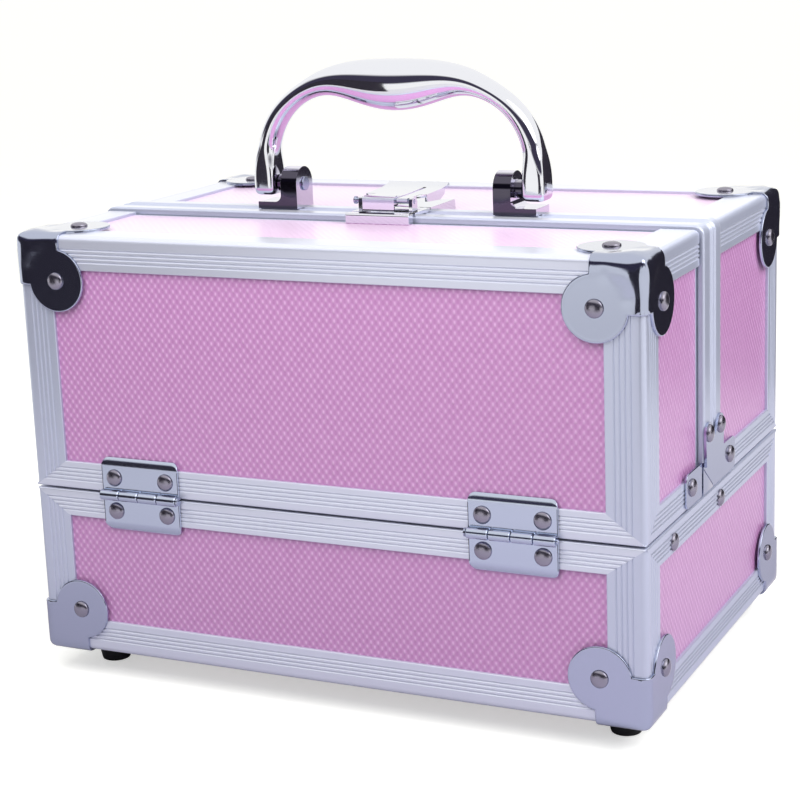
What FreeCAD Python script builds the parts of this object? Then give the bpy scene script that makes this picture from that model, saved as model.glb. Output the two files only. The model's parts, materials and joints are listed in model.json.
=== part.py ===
import FreeCAD, Part
import math
import os

import Sketcher
from FreeCAD import Placement, Rotation, Vector

# Makeup storage case with a carry handle: a boarded box with a front lid and a rear lid that fold
# outwards, edged in grooved aluminium rails, with a tray on parallel arms inside.
# Frame: X to the right, Y to the back, Z up, in millimetres, the floor under the feet at z = 0.

doc = FreeCAD.newDocument("MakeupCase")
sheet = doc.addObject("Spreadsheet::Sheet", "Dims")

DIMENSIONS = [
    ("case_width", 240.0, "outside, over the side rails"),
    ("case_depth", 163.5, "outside, front rail to rear rail"),
    ("case_height", 159.0, "outside, bottom rail to top rail"),
    ("foot_height", 11.0, "rubber foot and the plate it stands under"),
    ("base_height", 63.1, "base box over its top rail"),
    ("lid_gap", 0.8, "between base and lids"),
    ("front_lid_depth", 59.0, "front face to the seam"),
    ("seam_gap", 1.4, "front lid to the centre strip"),
    ("strip_width", 20.4, "centre strip"),
    ("strip_proud", 1.3, "centre strip above the rails"),
    ("strip_corner", 4.0, "outside bend of the strip"),
    ("plate", 1.2, "thickness of every rail and its step above the boards"),
    ("board", 3.0, "case board"),
    ("lining", 0.8, "cloth lining"),
    ("post_width", 14.0, "corner post, each face"),
    ("top_rail_drop", 12.5, "top and bottom rails on the walls"),
    ("top_rail_reach", 14.0, "top and bottom rails on the top and the floor"),
    ("lid_rail_height", 10.3, "lower rail of the lids"),
    ("base_rail_height", 10.0, "upper rail of the base"),
    ("rail_lip", 5.2, "lip of the rails at the gap"),
    ("edge_round", 2.2, "outer edge of a rail"),
    ("rim_round", 0.7, "edge of the rails at the gap between base and lids"),
    ("groove_width", 0.6, "groove in a rail"),
    ("groove_depth", 0.35, "groove in a rail"),
    ("cap_plate", 1.0, "steel of the corner caps"),
    ("cap_hub", 17.0, "square part of a corner cap"),
    ("cap_disc_place", 16.5, "disc centre from both edges"),
    ("cap_disc_radius", 11.5, "round lobe of a corner cap"),
    ("cap_bevel", 0.9, "outer edges of a corner cap"),
    ("rivet_radius", 3.2, "rivet head"),
    ("rivet_rise", 1.5, "rivet head"),
    ("hinge_place", 73.4, "hinge centre from the middle"),
    ("hinge_width", 32.5, "hinge leaf"),
    ("hinge_leaf_plate", 0.9, "hinge leaf"),
    ("hinge_leaf_height", 13.8, "hinge leaf from the pin"),
    ("hinge_axis_out", 2.05, "pin in front of the rails"),
    ("hinge_rivet_rise", 6.3, "hinge rivets above and below the pin"),
    ("hinge_rivet_place", 10.9, "hinge rivets from the hinge centre"),
    ("wing_rivet_place", 23.2, "rivets of the wings from the middle of the strip"),
    ("wing_rivet_rise", 7.2, "rivets of the wings above the lower edge of the lids"),
    ("knuckle_radius", 2.0, "hinge knuckle"),
    ("hinge_pin_radius", 0.9, "hinge pin"),
    ("running_fit", 0.03, "clearance of a pin that turns"),
    ("pivot_radius", 1.6, "arm pivots"),
    ("front_arm_place", 29.0, "base pivot of the front arms from the front face"),
    ("arm_spacing", 55.0, "front arm pivot to rear arm pivot"),
    ("arm_pivot_drop", 6.0, "arm pivots below the top of the base"),
    ("arm_length", 50.0, "pivot to pivot"),
    ("arm_angle", 19.3, "arm above level at rest, degrees"),
    ("arm_width", 9.0, "arm"),
    ("arm_plate", 1.2, "arm"),
    ("arm_inner_face", 112.7, "inner face of an arm from the middle"),
    ("tray_half_width", 112.0, "tray"),
    ("tray_front_place", 14.0, "tray from the front face"),
    ("tray_length", 134.0, "tray, front to back"),
    ("tray_height", 32.0, "tray"),
    ("tray_wall", 1.5, "tray"),
    ("link_slack", 0.3, "clearance round the pins that draw the tray"),
    ("tray_clear", 3.4, "tray above the top of the base"),
    ("handle_span", 59.4, "outside of a handle foot from the middle"),
    ("handle_rise", 46.8, "pivot to the top of the grip"),
    ("handle_place", 75.3, "handle from the front face"),
    ("arch_start", 2.7, "first section of the grip above the pivot"),
    ("leg_depth", 11.0, "handle leg, front to back"),
    ("foot_half_depth", 5.8, "handle foot from the pivot to its front"),
    ("foot_under", 4.2, "handle foot below its pivot"),
    ("foot_corner", 2.6, "lower corners of a handle foot, so that it swings over its bracket"),
    ("foot_width", 9.1, "handle foot, side to side"),
    ("leg_thickness", 9.0, "handle leg at its foot"),
    ("shoulder_thickness", 7.2, "handle where it bends"),
    ("grip_depth", 18.0, "grip in the middle, front to back"),
    ("grip_thickness", 19.0, "grip in the middle"),
    ("grip_dip", 3.9, "middle of the grip hangs below the arch"),
    ("pivot_rise", 9.0, "handle pivot above the strip"),
    ("handle_pin_radius", 1.5, "handle pin"),
    ("bracket_inner", 40.1, "inner face of a handle bracket from the middle"),
    ("bracket_ear", 6.9, "thickness of the bracket ear"),
    ("bracket_outer", 56.8, "outer end of a handle bracket"),
    ("bracket_depth", 13.2, "front to back"),
    ("bracket_lap", 2.6, "round between the ear and the base of a bracket"),
    ("boss_radius", 3.5, "spacer between the bracket and the handle"),
    ("bracket_base", 2.6, "thickness of the bracket base"),
    ("latch_half_width", 12.8, "latch plates"),
    ("latch_top", 2.6, "latch plates above the rails"),
    ("latch_rear_place", 97.0, "rear end of the latch base from the front face"),
    ("lever_axis_place", 62.9, "lever pin from the front face"),
    ("lever_axis_rise", 6.4, "lever pin above the rails"),
    ("lever_pin_radius", 0.9, "lever pin"),
    ("lever_end_place", 93.0, "rear end of the lever from the front face"),
    ("foot_end_radius", 4.8, "rubber foot, bottom"),
    ("foot_flare", 0.27, "rubber foot, radius gained with height"),
    ("foot_inset", 15.1, "rubber foot centre from the side edge"),
    ("foot_setback", 21.8, "rubber foot centre from the front or rear edge"),
]
for row, (alias, value, note) in enumerate(DIMENSIONS, start=1):
    sheet.set("A%d" % row, alias)
    sheet.set("B%d" % row, str(value))
    sheet.set("C%d" % row, note)
    sheet.setAlias("B%d" % row, alias)
doc.recompute()


class Dim:
    """A number together with the spreadsheet formula that gives it."""

    def __init__(self, value, text):
        self.value = float(value)
        self.text = text

    def __add__(self, other):
        other = dim(other)
        return Dim(self.value + other.value, "(%s + %s)" % (self.text, other.text))

    def __radd__(self, other):
        return dim(other) + self

    def __sub__(self, other):
        other = dim(other)
        return Dim(self.value - other.value, "(%s - %s)" % (self.text, other.text))

    def __rsub__(self, other):
        return dim(other) - self

    def __mul__(self, other):
        other = dim(other)
        return Dim(self.value * other.value, "%s * %s" % (self.text, other.text))

    def __rmul__(self, other):
        return dim(other) * self

    def __truediv__(self, other):
        other = dim(other)
        return Dim(self.value / other.value, "%s / %s" % (self.text, other.text))

    def __neg__(self):
        return Dim(-self.value, "(0 - %s)" % self.text)


def dim(number):
    """Any plain number as a Dim."""
    if isinstance(number, Dim):
        return number
    return Dim(number, "(%r)" % float(number))


def root(number):
    return Dim(math.sqrt(number.value), "sqrt(%s)" % number.text)


def cosine(angle):
    return Dim(math.cos(math.radians(angle.value)), "cos(%s)" % angle.text)


def sine(angle):
    return Dim(math.sin(math.radians(angle.value)), "sin(%s)" % angle.text)


S = {}
for alias, value, note in DIMENSIONS:
    S[alias] = Dim(value, "Dims.%s" % alias)

NODES = []


def bind(thing, name, number):
    """Set a property and tie it to the formula of its number."""
    thing.setExpression(name, dim(number).text)


def keep(thing, name):
    """Take an object as one node of the assembly, under its human name."""
    thing.Label = name
    NODES.append(thing)
    return thing


# ---------------------------------------------------------------- sketches, pads and pockets


def origin_plane(body, role):
    for feature in body.Origin.OriginFeatures:
        if feature.Role == role:
            return feature
    raise ValueError(role)


def arc_between(start, end, radius, turn):
    """The circular arc from start to end, no longer than a half circle: turn +1 bends left."""
    middle = (start + end) * 0.5
    chord = end - start
    left = Vector(-chord.y, chord.x, 0)
    left.normalize()
    height = math.sqrt(max(radius * radius - chord.Length * chord.Length / 4, 0.0))
    centre = middle + left * (height * turn)
    first, last = (start, end) if turn > 0 else (end, start)
    begin = math.atan2(first.y - centre.y, first.x - centre.x)
    finish = math.atan2(last.y - centre.y, last.x - centre.x)
    circle = Part.Circle(centre, Vector(0, 0, 1), radius)
    return Part.ArcOfCircle(circle, begin, finish)


def draw_loop(sketch, loop):
    """Draw one closed outline, each corner tied to its formulas.

    A corner is (x, y), or (x, y, radius, turn) where an arc leaves it."""
    ends = []
    corners = [(dim(corner[0]), dim(corner[1])) for corner in loop]
    for number, corner in enumerate(loop):
        following = corners[(number + 1) % len(loop)]
        start = Vector(corners[number][0].value, corners[number][1].value, 0)
        end = Vector(following[0].value, following[1].value, 0)
        if len(corner) > 2:
            radius = dim(corner[2])
            turn = corner[3]
            arc = arc_between(start, end, radius.value, turn)
            index = sketch.addGeometry(arc, False)
            ends.append((index, 1 if turn > 0 else 2, 2 if turn > 0 else 1))
            chord = end - start
            if abs(chord.Length - 2 * radius.value) > 0.001:
                tie(sketch, "Radius", (index,), radius)
            elif abs(chord.x) > abs(chord.y):
                middle = (corners[number][1] + following[1]) / 2
                tie(sketch, "DistanceY", (-1, 1, index, 3), middle)
            else:
                middle = (corners[number][0] + following[0]) / 2
                tie(sketch, "DistanceX", (-1, 1, index, 3), middle)
        else:
            index = sketch.addGeometry(Part.LineSegment(start, end), False)
            ends.append((index, 1, 2))
    for number, (index, begin, finish) in enumerate(ends):
        following = ends[(number + 1) % len(ends)]
        sketch.addConstraint(Sketcher.Constraint("Coincident", index, finish,
                                                 following[0], following[1]))
        tie(sketch, "DistanceX", (-1, 1, index, begin), corners[number][0])
        tie(sketch, "DistanceY", (-1, 1, index, begin), corners[number][1])


def tie(sketch, kind, places, number):
    """Add a dimension to a sketch and drive it from the spreadsheet."""
    index = sketch.addConstraint(Sketcher.Constraint(kind, *places, number.value))
    sketch.setExpression("Constraints[%d]" % index, number.text)


def new_sketch(body, name, role, loops, level):
    """A sketch on an origin plane of the body, moved to a level along that plane's axis."""
    sketch = body.newObject("Sketcher::SketchObject", name)
    sketch.AttachmentSupport = [(origin_plane(body, role), "")]
    sketch.MapMode = "FlatFace"
    height = -level if role == "XZ_Plane" else level
    sketch.AttachmentOffset = Placement(Vector(0, 0, height.value), Rotation())
    sketch.setExpression("AttachmentOffset.Base.z", height.text)
    for loop in loops:
        draw_loop(sketch, loop)
    return sketch


def pad(body, name, role, loops, low, high):
    """Fill the loops between two levels along the axis of the plane."""
    low, high = dim(low), dim(high)
    level = high if role == "XZ_Plane" else low
    sketch = new_sketch(body, name + "Sketch", role, loops, level)
    feature = body.newObject("PartDesign::Pad", name)
    feature.Profile = sketch
    feature.Length = (high - low).value
    bind(feature, "Length", high - low)
    sketch.Visibility = False
    doc.recompute()
    if not feature.Shape.isValid():
        raise RuntimeError("the pad %s is not sound" % name)
    return feature


def pocket(body, name, role, loops, low, high):
    """Cut the loops away between two levels along the axis of the plane."""
    low, high = dim(low), dim(high)
    before = body.Shape.Volume
    level = low if role == "XZ_Plane" else high
    sketch = new_sketch(body, name + "Sketch", role, loops, level)
    feature = body.newObject("PartDesign::Pocket", name)
    feature.Profile = sketch
    feature.Length = (high - low).value
    bind(feature, "Length", high - low)
    sketch.Visibility = False
    doc.recompute()
    if not body.Shape.Volume < before:
        raise RuntimeError("the pocket %s removes nothing" % name)
    return feature


def new_body(name):
    return doc.addObject("PartDesign::Body", name)


def rectangle(x_low, y_low, x_high, y_high):
    return [(x_low, y_low), (x_high, y_low), (x_high, y_high), (x_low, y_high)]


def ring_of_points(centre_u, centre_v, radius, count):
    """A regular outline of straight sides about a centre."""
    loop = []
    for number in range(count):
        angle = 2 * math.pi * (number + 0.5) / count
        loop.append((dim(centre_u) + radius * math.cos(angle),
                     dim(centre_v) + radius * math.sin(angle)))
    return loop


PIN_SIDES = 12


def round_bar(centre_u, centre_v, radius):
    """Outline of a truly round pin, as two half circles."""
    return [(centre_u - radius, centre_v, radius, 1), (centre_u + radius, centre_v, radius, 1)]


def shaft(centre_u, centre_v, radius):
    """Outline of a small round shaft."""
    return ring_of_points(centre_u, centre_v, radius, PIN_SIDES)


def eye(centre_u, centre_v, radius):
    """Outline of a hole whose flats just clear a shaft of this radius."""
    return ring_of_points(centre_u, centre_v, radius / math.cos(math.pi / PIN_SIDES), PIN_SIDES)


def wedge(corner_u, corner_v, reach_u, reach_v, flat):
    """The triangle that a mitre removes, on the side of the diagonal named by flat."""
    far_u = dim(corner_u) + dim(reach_u) * 1.15
    far_v = dim(corner_v) + dim(reach_v) * 1.15
    if flat == "u":
        return [(corner_u, corner_v), (far_u, corner_v), (far_u, far_v)]
    return [(corner_u, corner_v), (corner_u, far_v), (far_u, far_v)]


def box(name, low, high):
    """A plain board between two corners."""
    thing = doc.addObject("Part::Box", name)
    for side, first, second in zip(("Length", "Width", "Height"), low, high):
        setattr(thing, side, (dim(second) - dim(first)).value)
        bind(thing, side, dim(second) - dim(first))
    for letter, first in zip("xyz", low):
        bind(thing, "Placement.Base." + letter, first)
    return thing


def mirrored(thing, name, normal):
    """The same piece on the other side of the case."""
    copy = doc.addObject("Part::Mirroring", name)
    copy.Source = thing
    copy.Base = Vector(0, 0, 0)
    copy.Normal = normal
    return copy


def group(name, things):
    """Identical pieces kept together as one node of separate solids."""
    whole = doc.addObject("Part::Compound", name.title().replace("_", ""))
    whole.Links = things
    return keep(whole, name)


ACROSS = Vector(1, 0, 0)
ALONG = Vector(0, 1, 0)


def pair(name, thing):
    """A piece and its mirror image on the left."""
    return group(name, [thing, mirrored(thing, thing.Name + "Left", ACROSS)])


def four(name, thing):
    """A piece at all four corners."""
    left = mirrored(thing, thing.Name + "Left", ACROSS)
    rear = mirrored(thing, thing.Name + "Rear", ALONG)
    rear_left = mirrored(left, thing.Name + "RearLeft", ALONG)
    return group(name, [thing, left, rear, rear_left])


# ---------------------------------------------------------------- main levels

side = S["case_width"] / 2
front = -S["case_depth"] / 2
rear = S["case_depth"] / 2
bottom = S["foot_height"]
base_top = bottom + S["base_height"]
lid_low = base_top + S["lid_gap"]
top = bottom + S["case_height"]
axis_level = base_top + S["lid_gap"] / 2
seam = front + S["front_lid_depth"]
strip_front = seam + S["seam_gap"]
strip_rear = strip_front + S["strip_width"]
strip_middle = strip_front + S["strip_width"] / 2
strip_top = top + S["strip_proud"]
plate = S["plate"]
board = S["board"]
board_side = side - plate
inner_side = board_side - board
lining_side = inner_side - S["lining"]

# ---------------------------------------------------------------- aluminium rails


def grooves(count, first, pitch):
    """Places of the fine grooves that run along a rail, measured from its outer edge."""
    return [first + pitch * number for number in range(count)]


def angle_section(corner_u, corner_v, sense_u, sense_v, leg_u, leg_v, rows_u, rows_v, edge):
    """An angle section with a rounded outer edge and V grooves along its two outer faces."""
    half = S["groove_width"] / 2
    depth = S["groove_depth"]
    path = [(leg_u, dim(0)), (leg_u, plate), (plate, plate), (plate, leg_v), (dim(0), leg_v)]
    for row in reversed(rows_v):
        path += [(dim(0), row + half), (depth, dim(row)), (dim(0), row - half)]
    turn = 1 if sense_u * sense_v > 0 else -1
    path.append((dim(0), edge, edge, turn))
    path.append((edge, dim(0)))
    for row in rows_u:
        path += [(row - half, dim(0)), (dim(row), depth), (row + half, dim(0))]
    loop = []
    for point in path:
        placed = (corner_u + point[0] * sense_u, corner_v + point[1] * sense_v)
        loop.append(placed + tuple(point[2:]))
    return loop


def long_rail(name, level, sense, drop, reach, rows, edge=S["edge_round"]):
    """A front rail from corner to corner, mitred at both ends; sense -1 hangs from its edge."""
    rail = new_body(name)
    section = angle_section(front, level, 1, sense, reach, drop, [], rows, edge)
    pad(rail, name + "Length", "YZ_Plane", [section], -side, side)
    across = S["post_width"]
    face = [wedge(side, level, -across, drop * sense, "v"),
            wedge(-side, level, across, drop * sense, "v")]
    pocket(rail, name + "FaceMitre", "XZ_Plane", face, front - 1, front + reach + 1)
    plan = [wedge(side, front, -reach, reach, "v"), wedge(-side, front, reach, reach, "v")]
    pocket(rail, name + "PlanMitre", "XY_Plane", plan, level - 20, level + 20)
    return rail


def side_rail(name, level, sense, drop, reach, rows, start, end, mitre_rear,
              edge=S["edge_round"]):
    """A right-hand rail along Y, mitred at the front corner, the rear corner or both."""
    rail = new_body(name)
    section = angle_section(side, level, -1, sense, reach, drop, [], rows, edge)
    pad(rail, name + "Length", "XZ_Plane", [section], start, end)
    along = S["post_width"]
    ends = []
    if start.text == front.text:
        ends.append((front, 1))
    if mitre_rear:
        ends.append((rear, -1))
    face = [wedge(place, level, along * way, drop * sense, "v") for place, way in ends]
    pocket(rail, name + "FaceMitre", "YZ_Plane", face, side - reach - 1, side + 1)
    plan = [wedge(side, place, -reach, reach * way, "u") for place, way in ends]
    pocket(rail, name + "PlanMitre", "XY_Plane", plan, level - 20, level + 20)
    return rail


def corner_post(name, low, high, low_rail, high_rail):
    """The right front corner post, mitred into the rails at both ends."""
    post = new_body(name)
    width = S["post_width"]
    rows = grooves(4, 5.0, 1.9)
    section = angle_section(side, front, -1, 1, width, width, rows, rows, S["edge_round"])
    pad(post, name + "Length", "XY_Plane", [section], low, high)
    face = [wedge(side, high, -width, -high_rail, "u"), wedge(side, low, -width, low_rail, "u")]
    pocket(post, name + "FrontMitre", "XZ_Plane", face, front - 1, front + width + 1)
    flank = [wedge(front, high, width, -high_rail, "u"), wedge(front, low, width, low_rail, "u")]
    pocket(post, name + "SideMitre", "YZ_Plane", flank, side - width - 1, side + 1)
    return post


drop = S["top_rail_drop"]
reach = S["top_rail_reach"]
lip = S["rail_lip"]
wide_rows = grooves(4, 5.0, 1.5)
slim_rows = grooves(4, 3.2, 1.5)

base_post = corner_post("BasePost", bottom, base_top, drop, S["base_rail_height"])
four("base_corner_posts", base_post)
base_floor_rail = long_rail("BaseFloorRail", bottom, 1, drop, reach, wide_rows)
group("base_bottom_rails_long", [base_floor_rail, mirrored(base_floor_rail, "BaseFloorRailRear", ALONG)])
base_floor_side = side_rail("BaseFloorSide", bottom, 1, drop, reach, wide_rows, front, rear, True)
pair("base_bottom_rails_short", base_floor_side)
rim = S["rim_round"]
base_rim = long_rail("BaseRim", base_top, -1, S["base_rail_height"], lip, slim_rows, rim)
group("base_top_rails_long", [base_rim, mirrored(base_rim, "BaseRimRear", ALONG)])
base_rim_side = side_rail("BaseRimSide", base_top, -1, S["base_rail_height"], lip, slim_rows,
                          front, rear, True, rim)

front_pivot_y = front + S["front_arm_place"]
rear_pivot_y = front_pivot_y + S["arm_spacing"]
pivot_z = base_top - S["arm_pivot_drop"]
pair("base_top_rails_short", base_rim_side)

front_lid_edge = long_rail("FrontLidEdge", top, -1, drop, reach, wide_rows)
keep(front_lid_edge, "front_lid_top_rail")
rear_lid_edge = mirrored(front_lid_edge, "RearLidEdge", ALONG)
keep(rear_lid_edge, "rear_lid_top_rail")
front_lid_edge_side = side_rail("FrontLidEdgeSide", top, -1, drop, reach, wide_rows,
                                front, seam, False)
pair("front_lid_side_top_rails", front_lid_edge_side)
rear_lid_edge_side = side_rail("RearLidEdgeSide", top, -1, drop, reach, wide_rows,
                               strip_rear, rear, True)
pair("rear_lid_side_top_rails", rear_lid_edge_side)
front_lid_rim = long_rail("FrontLidRim", lid_low, 1, S["lid_rail_height"], lip, slim_rows, rim)
keep(front_lid_rim, "front_lid_bottom_rail")
rear_lid_rim = mirrored(front_lid_rim, "RearLidRim", ALONG)
keep(rear_lid_rim, "rear_lid_bottom_rail")
front_lid_rim_side = side_rail("FrontLidRimSide", lid_low, 1, S["lid_rail_height"], lip,
                               slim_rows, front, seam, False, rim)
pair("front_lid_side_bottom_rails", front_lid_rim_side)
rear_lid_rim_side = side_rail("RearLidRimSide", lid_low, 1, S["lid_rail_height"], lip,
                              slim_rows, strip_front, rear, True, rim)
pair("rear_lid_side_bottom_rails", rear_lid_rim_side)
lid_post = corner_post("LidPost", lid_low, top, S["lid_rail_height"], drop)
pair("front_lid_corner_posts", lid_post)
rear_post = mirrored(lid_post, "RearLidPost", ALONG)
pair("rear_lid_corner_posts", rear_post)

# ---------------------------------------------------------------- boards and linings

wall_front = front + plate
wall_inner = wall_front + board
wall_rear = rear - plate
wall_rear_inner = wall_rear - board
trim_front = seam - plate
flange_rear = strip_front + plate

base_long = box("BaseLongBoard", (-board_side, wall_front, bottom + plate),
                (board_side, wall_inner, base_top - plate))
group("base_long_boards", [base_long, mirrored(base_long, "BaseLongBoardRear", ALONG)])
base_short = box("BaseShortBoard", (inner_side, wall_inner, bottom + plate),
                 (board_side, wall_rear_inner, base_top - plate))


pair("base_short_boards", base_short)
keep(box("BaseFloorBoard", (-inner_side, wall_inner, bottom + plate),
         (inner_side, wall_rear_inner, bottom + plate + board)), "base_floor_board")


def lid_boards(prefix, first, last, wall_low, wall_high):
    """Wall, top and two side boards of a lid; first and last bound its top and its sides."""
    keep(box(prefix + "WallBoard", (-board_side, wall_low, lid_low + plate),
             (board_side, wall_high, top - plate)), prefix + "_lid_wall_board")
    keep(box(prefix + "TopBoard", (-board_side, first, top - plate - board),
             (board_side, last, top - plate)), prefix + "_lid_top_board")
    flank = box(prefix + "SideBoard", (inner_side, first, lid_low + plate),
                (board_side, last, top - plate - board))
    pair(prefix + "_lid_side_boards", flank)


lid_boards("front", wall_inner, trim_front, wall_front, wall_inner)
lid_boards("rear", flange_rear, wall_rear_inner, wall_rear_inner, wall_rear)

trim_side = box("EdgeTrimSide", (lining_side, trim_front, lid_low + plate),
                (board_side, seam, top - plate - board - S["lining"]))
trim_left = mirrored(trim_side, "EdgeTrimLeft", ACROSS)
trim_top = box("EdgeTrimTop", (-board_side, trim_front, top - plate - board - S["lining"]),
               (board_side, seam, top - plate))
group("front_lid_edge_trims", [trim_side, trim_left, trim_top])

cloth = S["lining"]


def hollow(name, low, high, inner_low, inner_high):
    """A cloth lining: one box less the space inside it."""
    outside = box(name + "Outside", low, high)
    inside = box(name + "Inside", inner_low, inner_high)
    cut = doc.addObject("Part::Cut", name)
    cut.Base = outside
    cut.Tool = inside
    return cut


base_cloth = hollow("BaseLining",
                    (-inner_side, wall_inner, bottom + plate + board),
                    (inner_side, wall_rear_inner, base_top - plate),
                    (-lining_side, wall_inner + cloth, bottom + plate + board + cloth),
                    (lining_side, wall_rear_inner - cloth, base_top))


keep(base_cloth, "base_lining")

axis_out = S["hinge_axis_out"]
lift_y = S["arm_length"] * cosine(S["arm_angle"])
lift_z = S["arm_length"] * sine(S["arm_angle"])
lid_pin_y = front - axis_out + lift_y
lid_pin_z = axis_level + lift_z
lid_pin_radius = S["pivot_radius"] + 0.1
front_cloth = hollow("FrontLidLining",
                     (-inner_side, wall_inner, lid_low + plate),
                     (inner_side, trim_front, top - plate - board),
                     (-lining_side, wall_inner + cloth, lid_low),
                     (lining_side, trim_front + 5, top - plate - board - cloth))
keep(front_cloth, "front_lid_lining")
keep(hollow("RearLidLining",
            (-inner_side, flange_rear, lid_low + plate),
            (inner_side, wall_rear_inner, top - plate - board),
            (-lining_side, flange_rear - 5, lid_low),
            (lining_side, wall_rear_inner - cloth, top - plate - board - cloth)),
     "rear_lid_lining")

# ---------------------------------------------------------------- centre strip of the rear lid

strip = new_body("CentreStrip")
strip_side = side + S["strip_proud"]
bend = S["strip_corner"]
foot_level = lid_low + S["lid_rail_height"] + 2.2


def arch(half_outer, top_outer, radius, half_inner, top_inner, low):
    """An upside-down U with rounded outer bends."""
    return [(half_inner, low), (half_outer, low), (half_outer, top_outer - radius, radius, 1),
            (half_outer - radius, top_outer), (-half_outer + radius, top_outer, radius, 1),
            (-half_outer, top_outer - radius), (-half_outer, low), (-half_inner, low),
            (-half_inner, top_inner), (half_inner, top_inner)]


pad(strip, "StripBar", "XZ_Plane",
    [arch(strip_side, strip_top, bend, board_side, top - plate, foot_level)],
    strip_front, strip_rear)
flange = [(lining_side, lid_low + plate), (board_side, lid_low + plate),
          (board_side, top - plate), (-board_side, top - plate),
          (-board_side, lid_low + plate), (-lining_side, lid_low + plate),
          (-lining_side, top - plate - board - cloth), (lining_side, top - plate - board - cloth)]
pad(strip, "StripFlange", "XZ_Plane", [flange], strip_front, flange_rear)
channel = 0.7
for number, place in enumerate((6.6, 10.6)):
    outer = arch(strip_side + 1, strip_top + 1, bend + 1, strip_side - channel,
                 strip_top - channel, foot_level - 1)
    pocket(strip, "StripChannel%d" % number, "XZ_Plane", [outer],
           strip_front + place, strip_front + place + 3.2)
keep(strip, "rear_lid_centre_strip")

# ---------------------------------------------------------------- corner caps and rivets


LOBE_SIDES = 18


def corner_cap(name, level, sense):
    """The right front cap of three round-lobed plates; sense -1 sits at the top corner."""
    cap = new_body(name)
    thick = S["cap_plate"]
    hub = S["cap_hub"]
    place = S["cap_disc_place"]
    radius = S["cap_disc_radius"]
    ends = [level - thick * sense, level + hub * sense]
    low, high = (ends[0], ends[1]) if sense > 0 else (ends[1], ends[0])
    pad(cap, name + "Block", "XY_Plane",
        [rectangle(side - hub, front - thick, side + thick, front + hub)], low, high)
    tip = Vector((side + thick).value, (front - thick).value, (level - thick * sense).value)
    outer = []
    for index, edge in enumerate(cap.Shape.Edges, start=1):
        if any((vertex.Point - tip).Length < 0.01 for vertex in edge.Vertexes):
            outer.append("Edge%d" % index)
    block = cap.Tip
    bevel = cap.newObject("PartDesign::Chamfer", name + "Edges")
    bevel.Base = (block, outer)
    bevel.Size = S["cap_bevel"].value
    bind(bevel, "Size", S["cap_bevel"])
    doc.recompute()
    hollow_ends = [level, level + (hub + 1) * sense]
    low, high = hollow_ends if sense > 0 else reversed(hollow_ends)
    pocket(cap, name + "Hollow", "XY_Plane",
           [rectangle(side - hub - 1, front, side, front + hub + 1)], low, high)
    away = level + place * sense
    pad(cap, name + "FrontDisc", "XZ_Plane",
        [ring_of_points(side - place, away, radius, LOBE_SIDES)], front - thick, front)
    pad(cap, name + "SideDisc", "YZ_Plane",
        [ring_of_points(front + place, away, radius, LOBE_SIDES)], side, side + thick)
    low, high = (level, level + thick) if sense < 0 else (level - thick, level)
    pad(cap, name + "FlatDisc", "XY_Plane",
        [ring_of_points(side - place, front + place, radius, LOBE_SIDES)], low, high)
    return cap


top_cap = corner_cap("TopCap", top, -1)
pair("front_lid_corner_caps", top_cap)
pair("rear_lid_corner_caps", mirrored(top_cap, "TopCapRearRight", ALONG))
foot_cap = corner_cap("FootCap", bottom, 1)
four("base_corner_caps", foot_cap)


RIVET_SIDES = 8
RIVET_TAPER = 38.0


def rivet_head(name, role, u, v, level):
    """A low tapered rivet head that stands on a face at the given level along the plane's axis."""
    head = new_body(name)
    outline = ring_of_points(u, v, S["rivet_radius"], RIVET_SIDES)
    sketch = new_sketch(head, name + "Sketch", role, [outline], dim(level))
    feature = head.newObject("PartDesign::Pad", name + "Pad")
    feature.Profile = sketch
    bind(feature, "Length", S["rivet_rise"])
    feature.TaperAngle = -RIVET_TAPER
    sketch.Visibility = False
    doc.recompute()
    if not feature.Shape.isValid():
        raise RuntimeError("the rivet %s is not sound" % name)
    return head


def cap_rivets(name, level, sense):
    """The rivets of the right front cap; under the base a foot stands in place of the third."""
    inset = S["cap_disc_place"]
    thick = S["cap_plate"]
    away = level + inset * sense
    heads = [
        rivet_head(name + "Front", "XZ_Plane", side - inset, away, front - thick),
        rivet_head(name + "Side", "YZ_Plane", front + inset, away, side + thick),
    ]
    if sense < 0:
        heads.append(rivet_head(name + "Flat", "XY_Plane", side - inset, front + inset,
                                level + thick))
    return heads


def with_mirrors(things, normal):
    """Pieces and their mirror images."""
    return things + [mirrored(thing, thing.Name + "M", normal) for thing in things]


front_lid_rivets = cap_rivets("TopCapRivet", top, -1)
rear_lid_rivets = [mirrored(head, head.Name + "Back", ALONG) for head in front_lid_rivets]
base_rivets = with_mirrors(cap_rivets("FootCapRivet", bottom, 1), ALONG)

# ---------------------------------------------------------------- hinges

hinge_place = S["hinge_place"]
leaf_half = S["hinge_width"] / 2
leaf_plate = S["hinge_leaf_plate"]
axis_y = front - axis_out
knuckle_count = 4
knuckle_length = S["hinge_width"] / knuckle_count
knuckle_gap = 0.15


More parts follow.
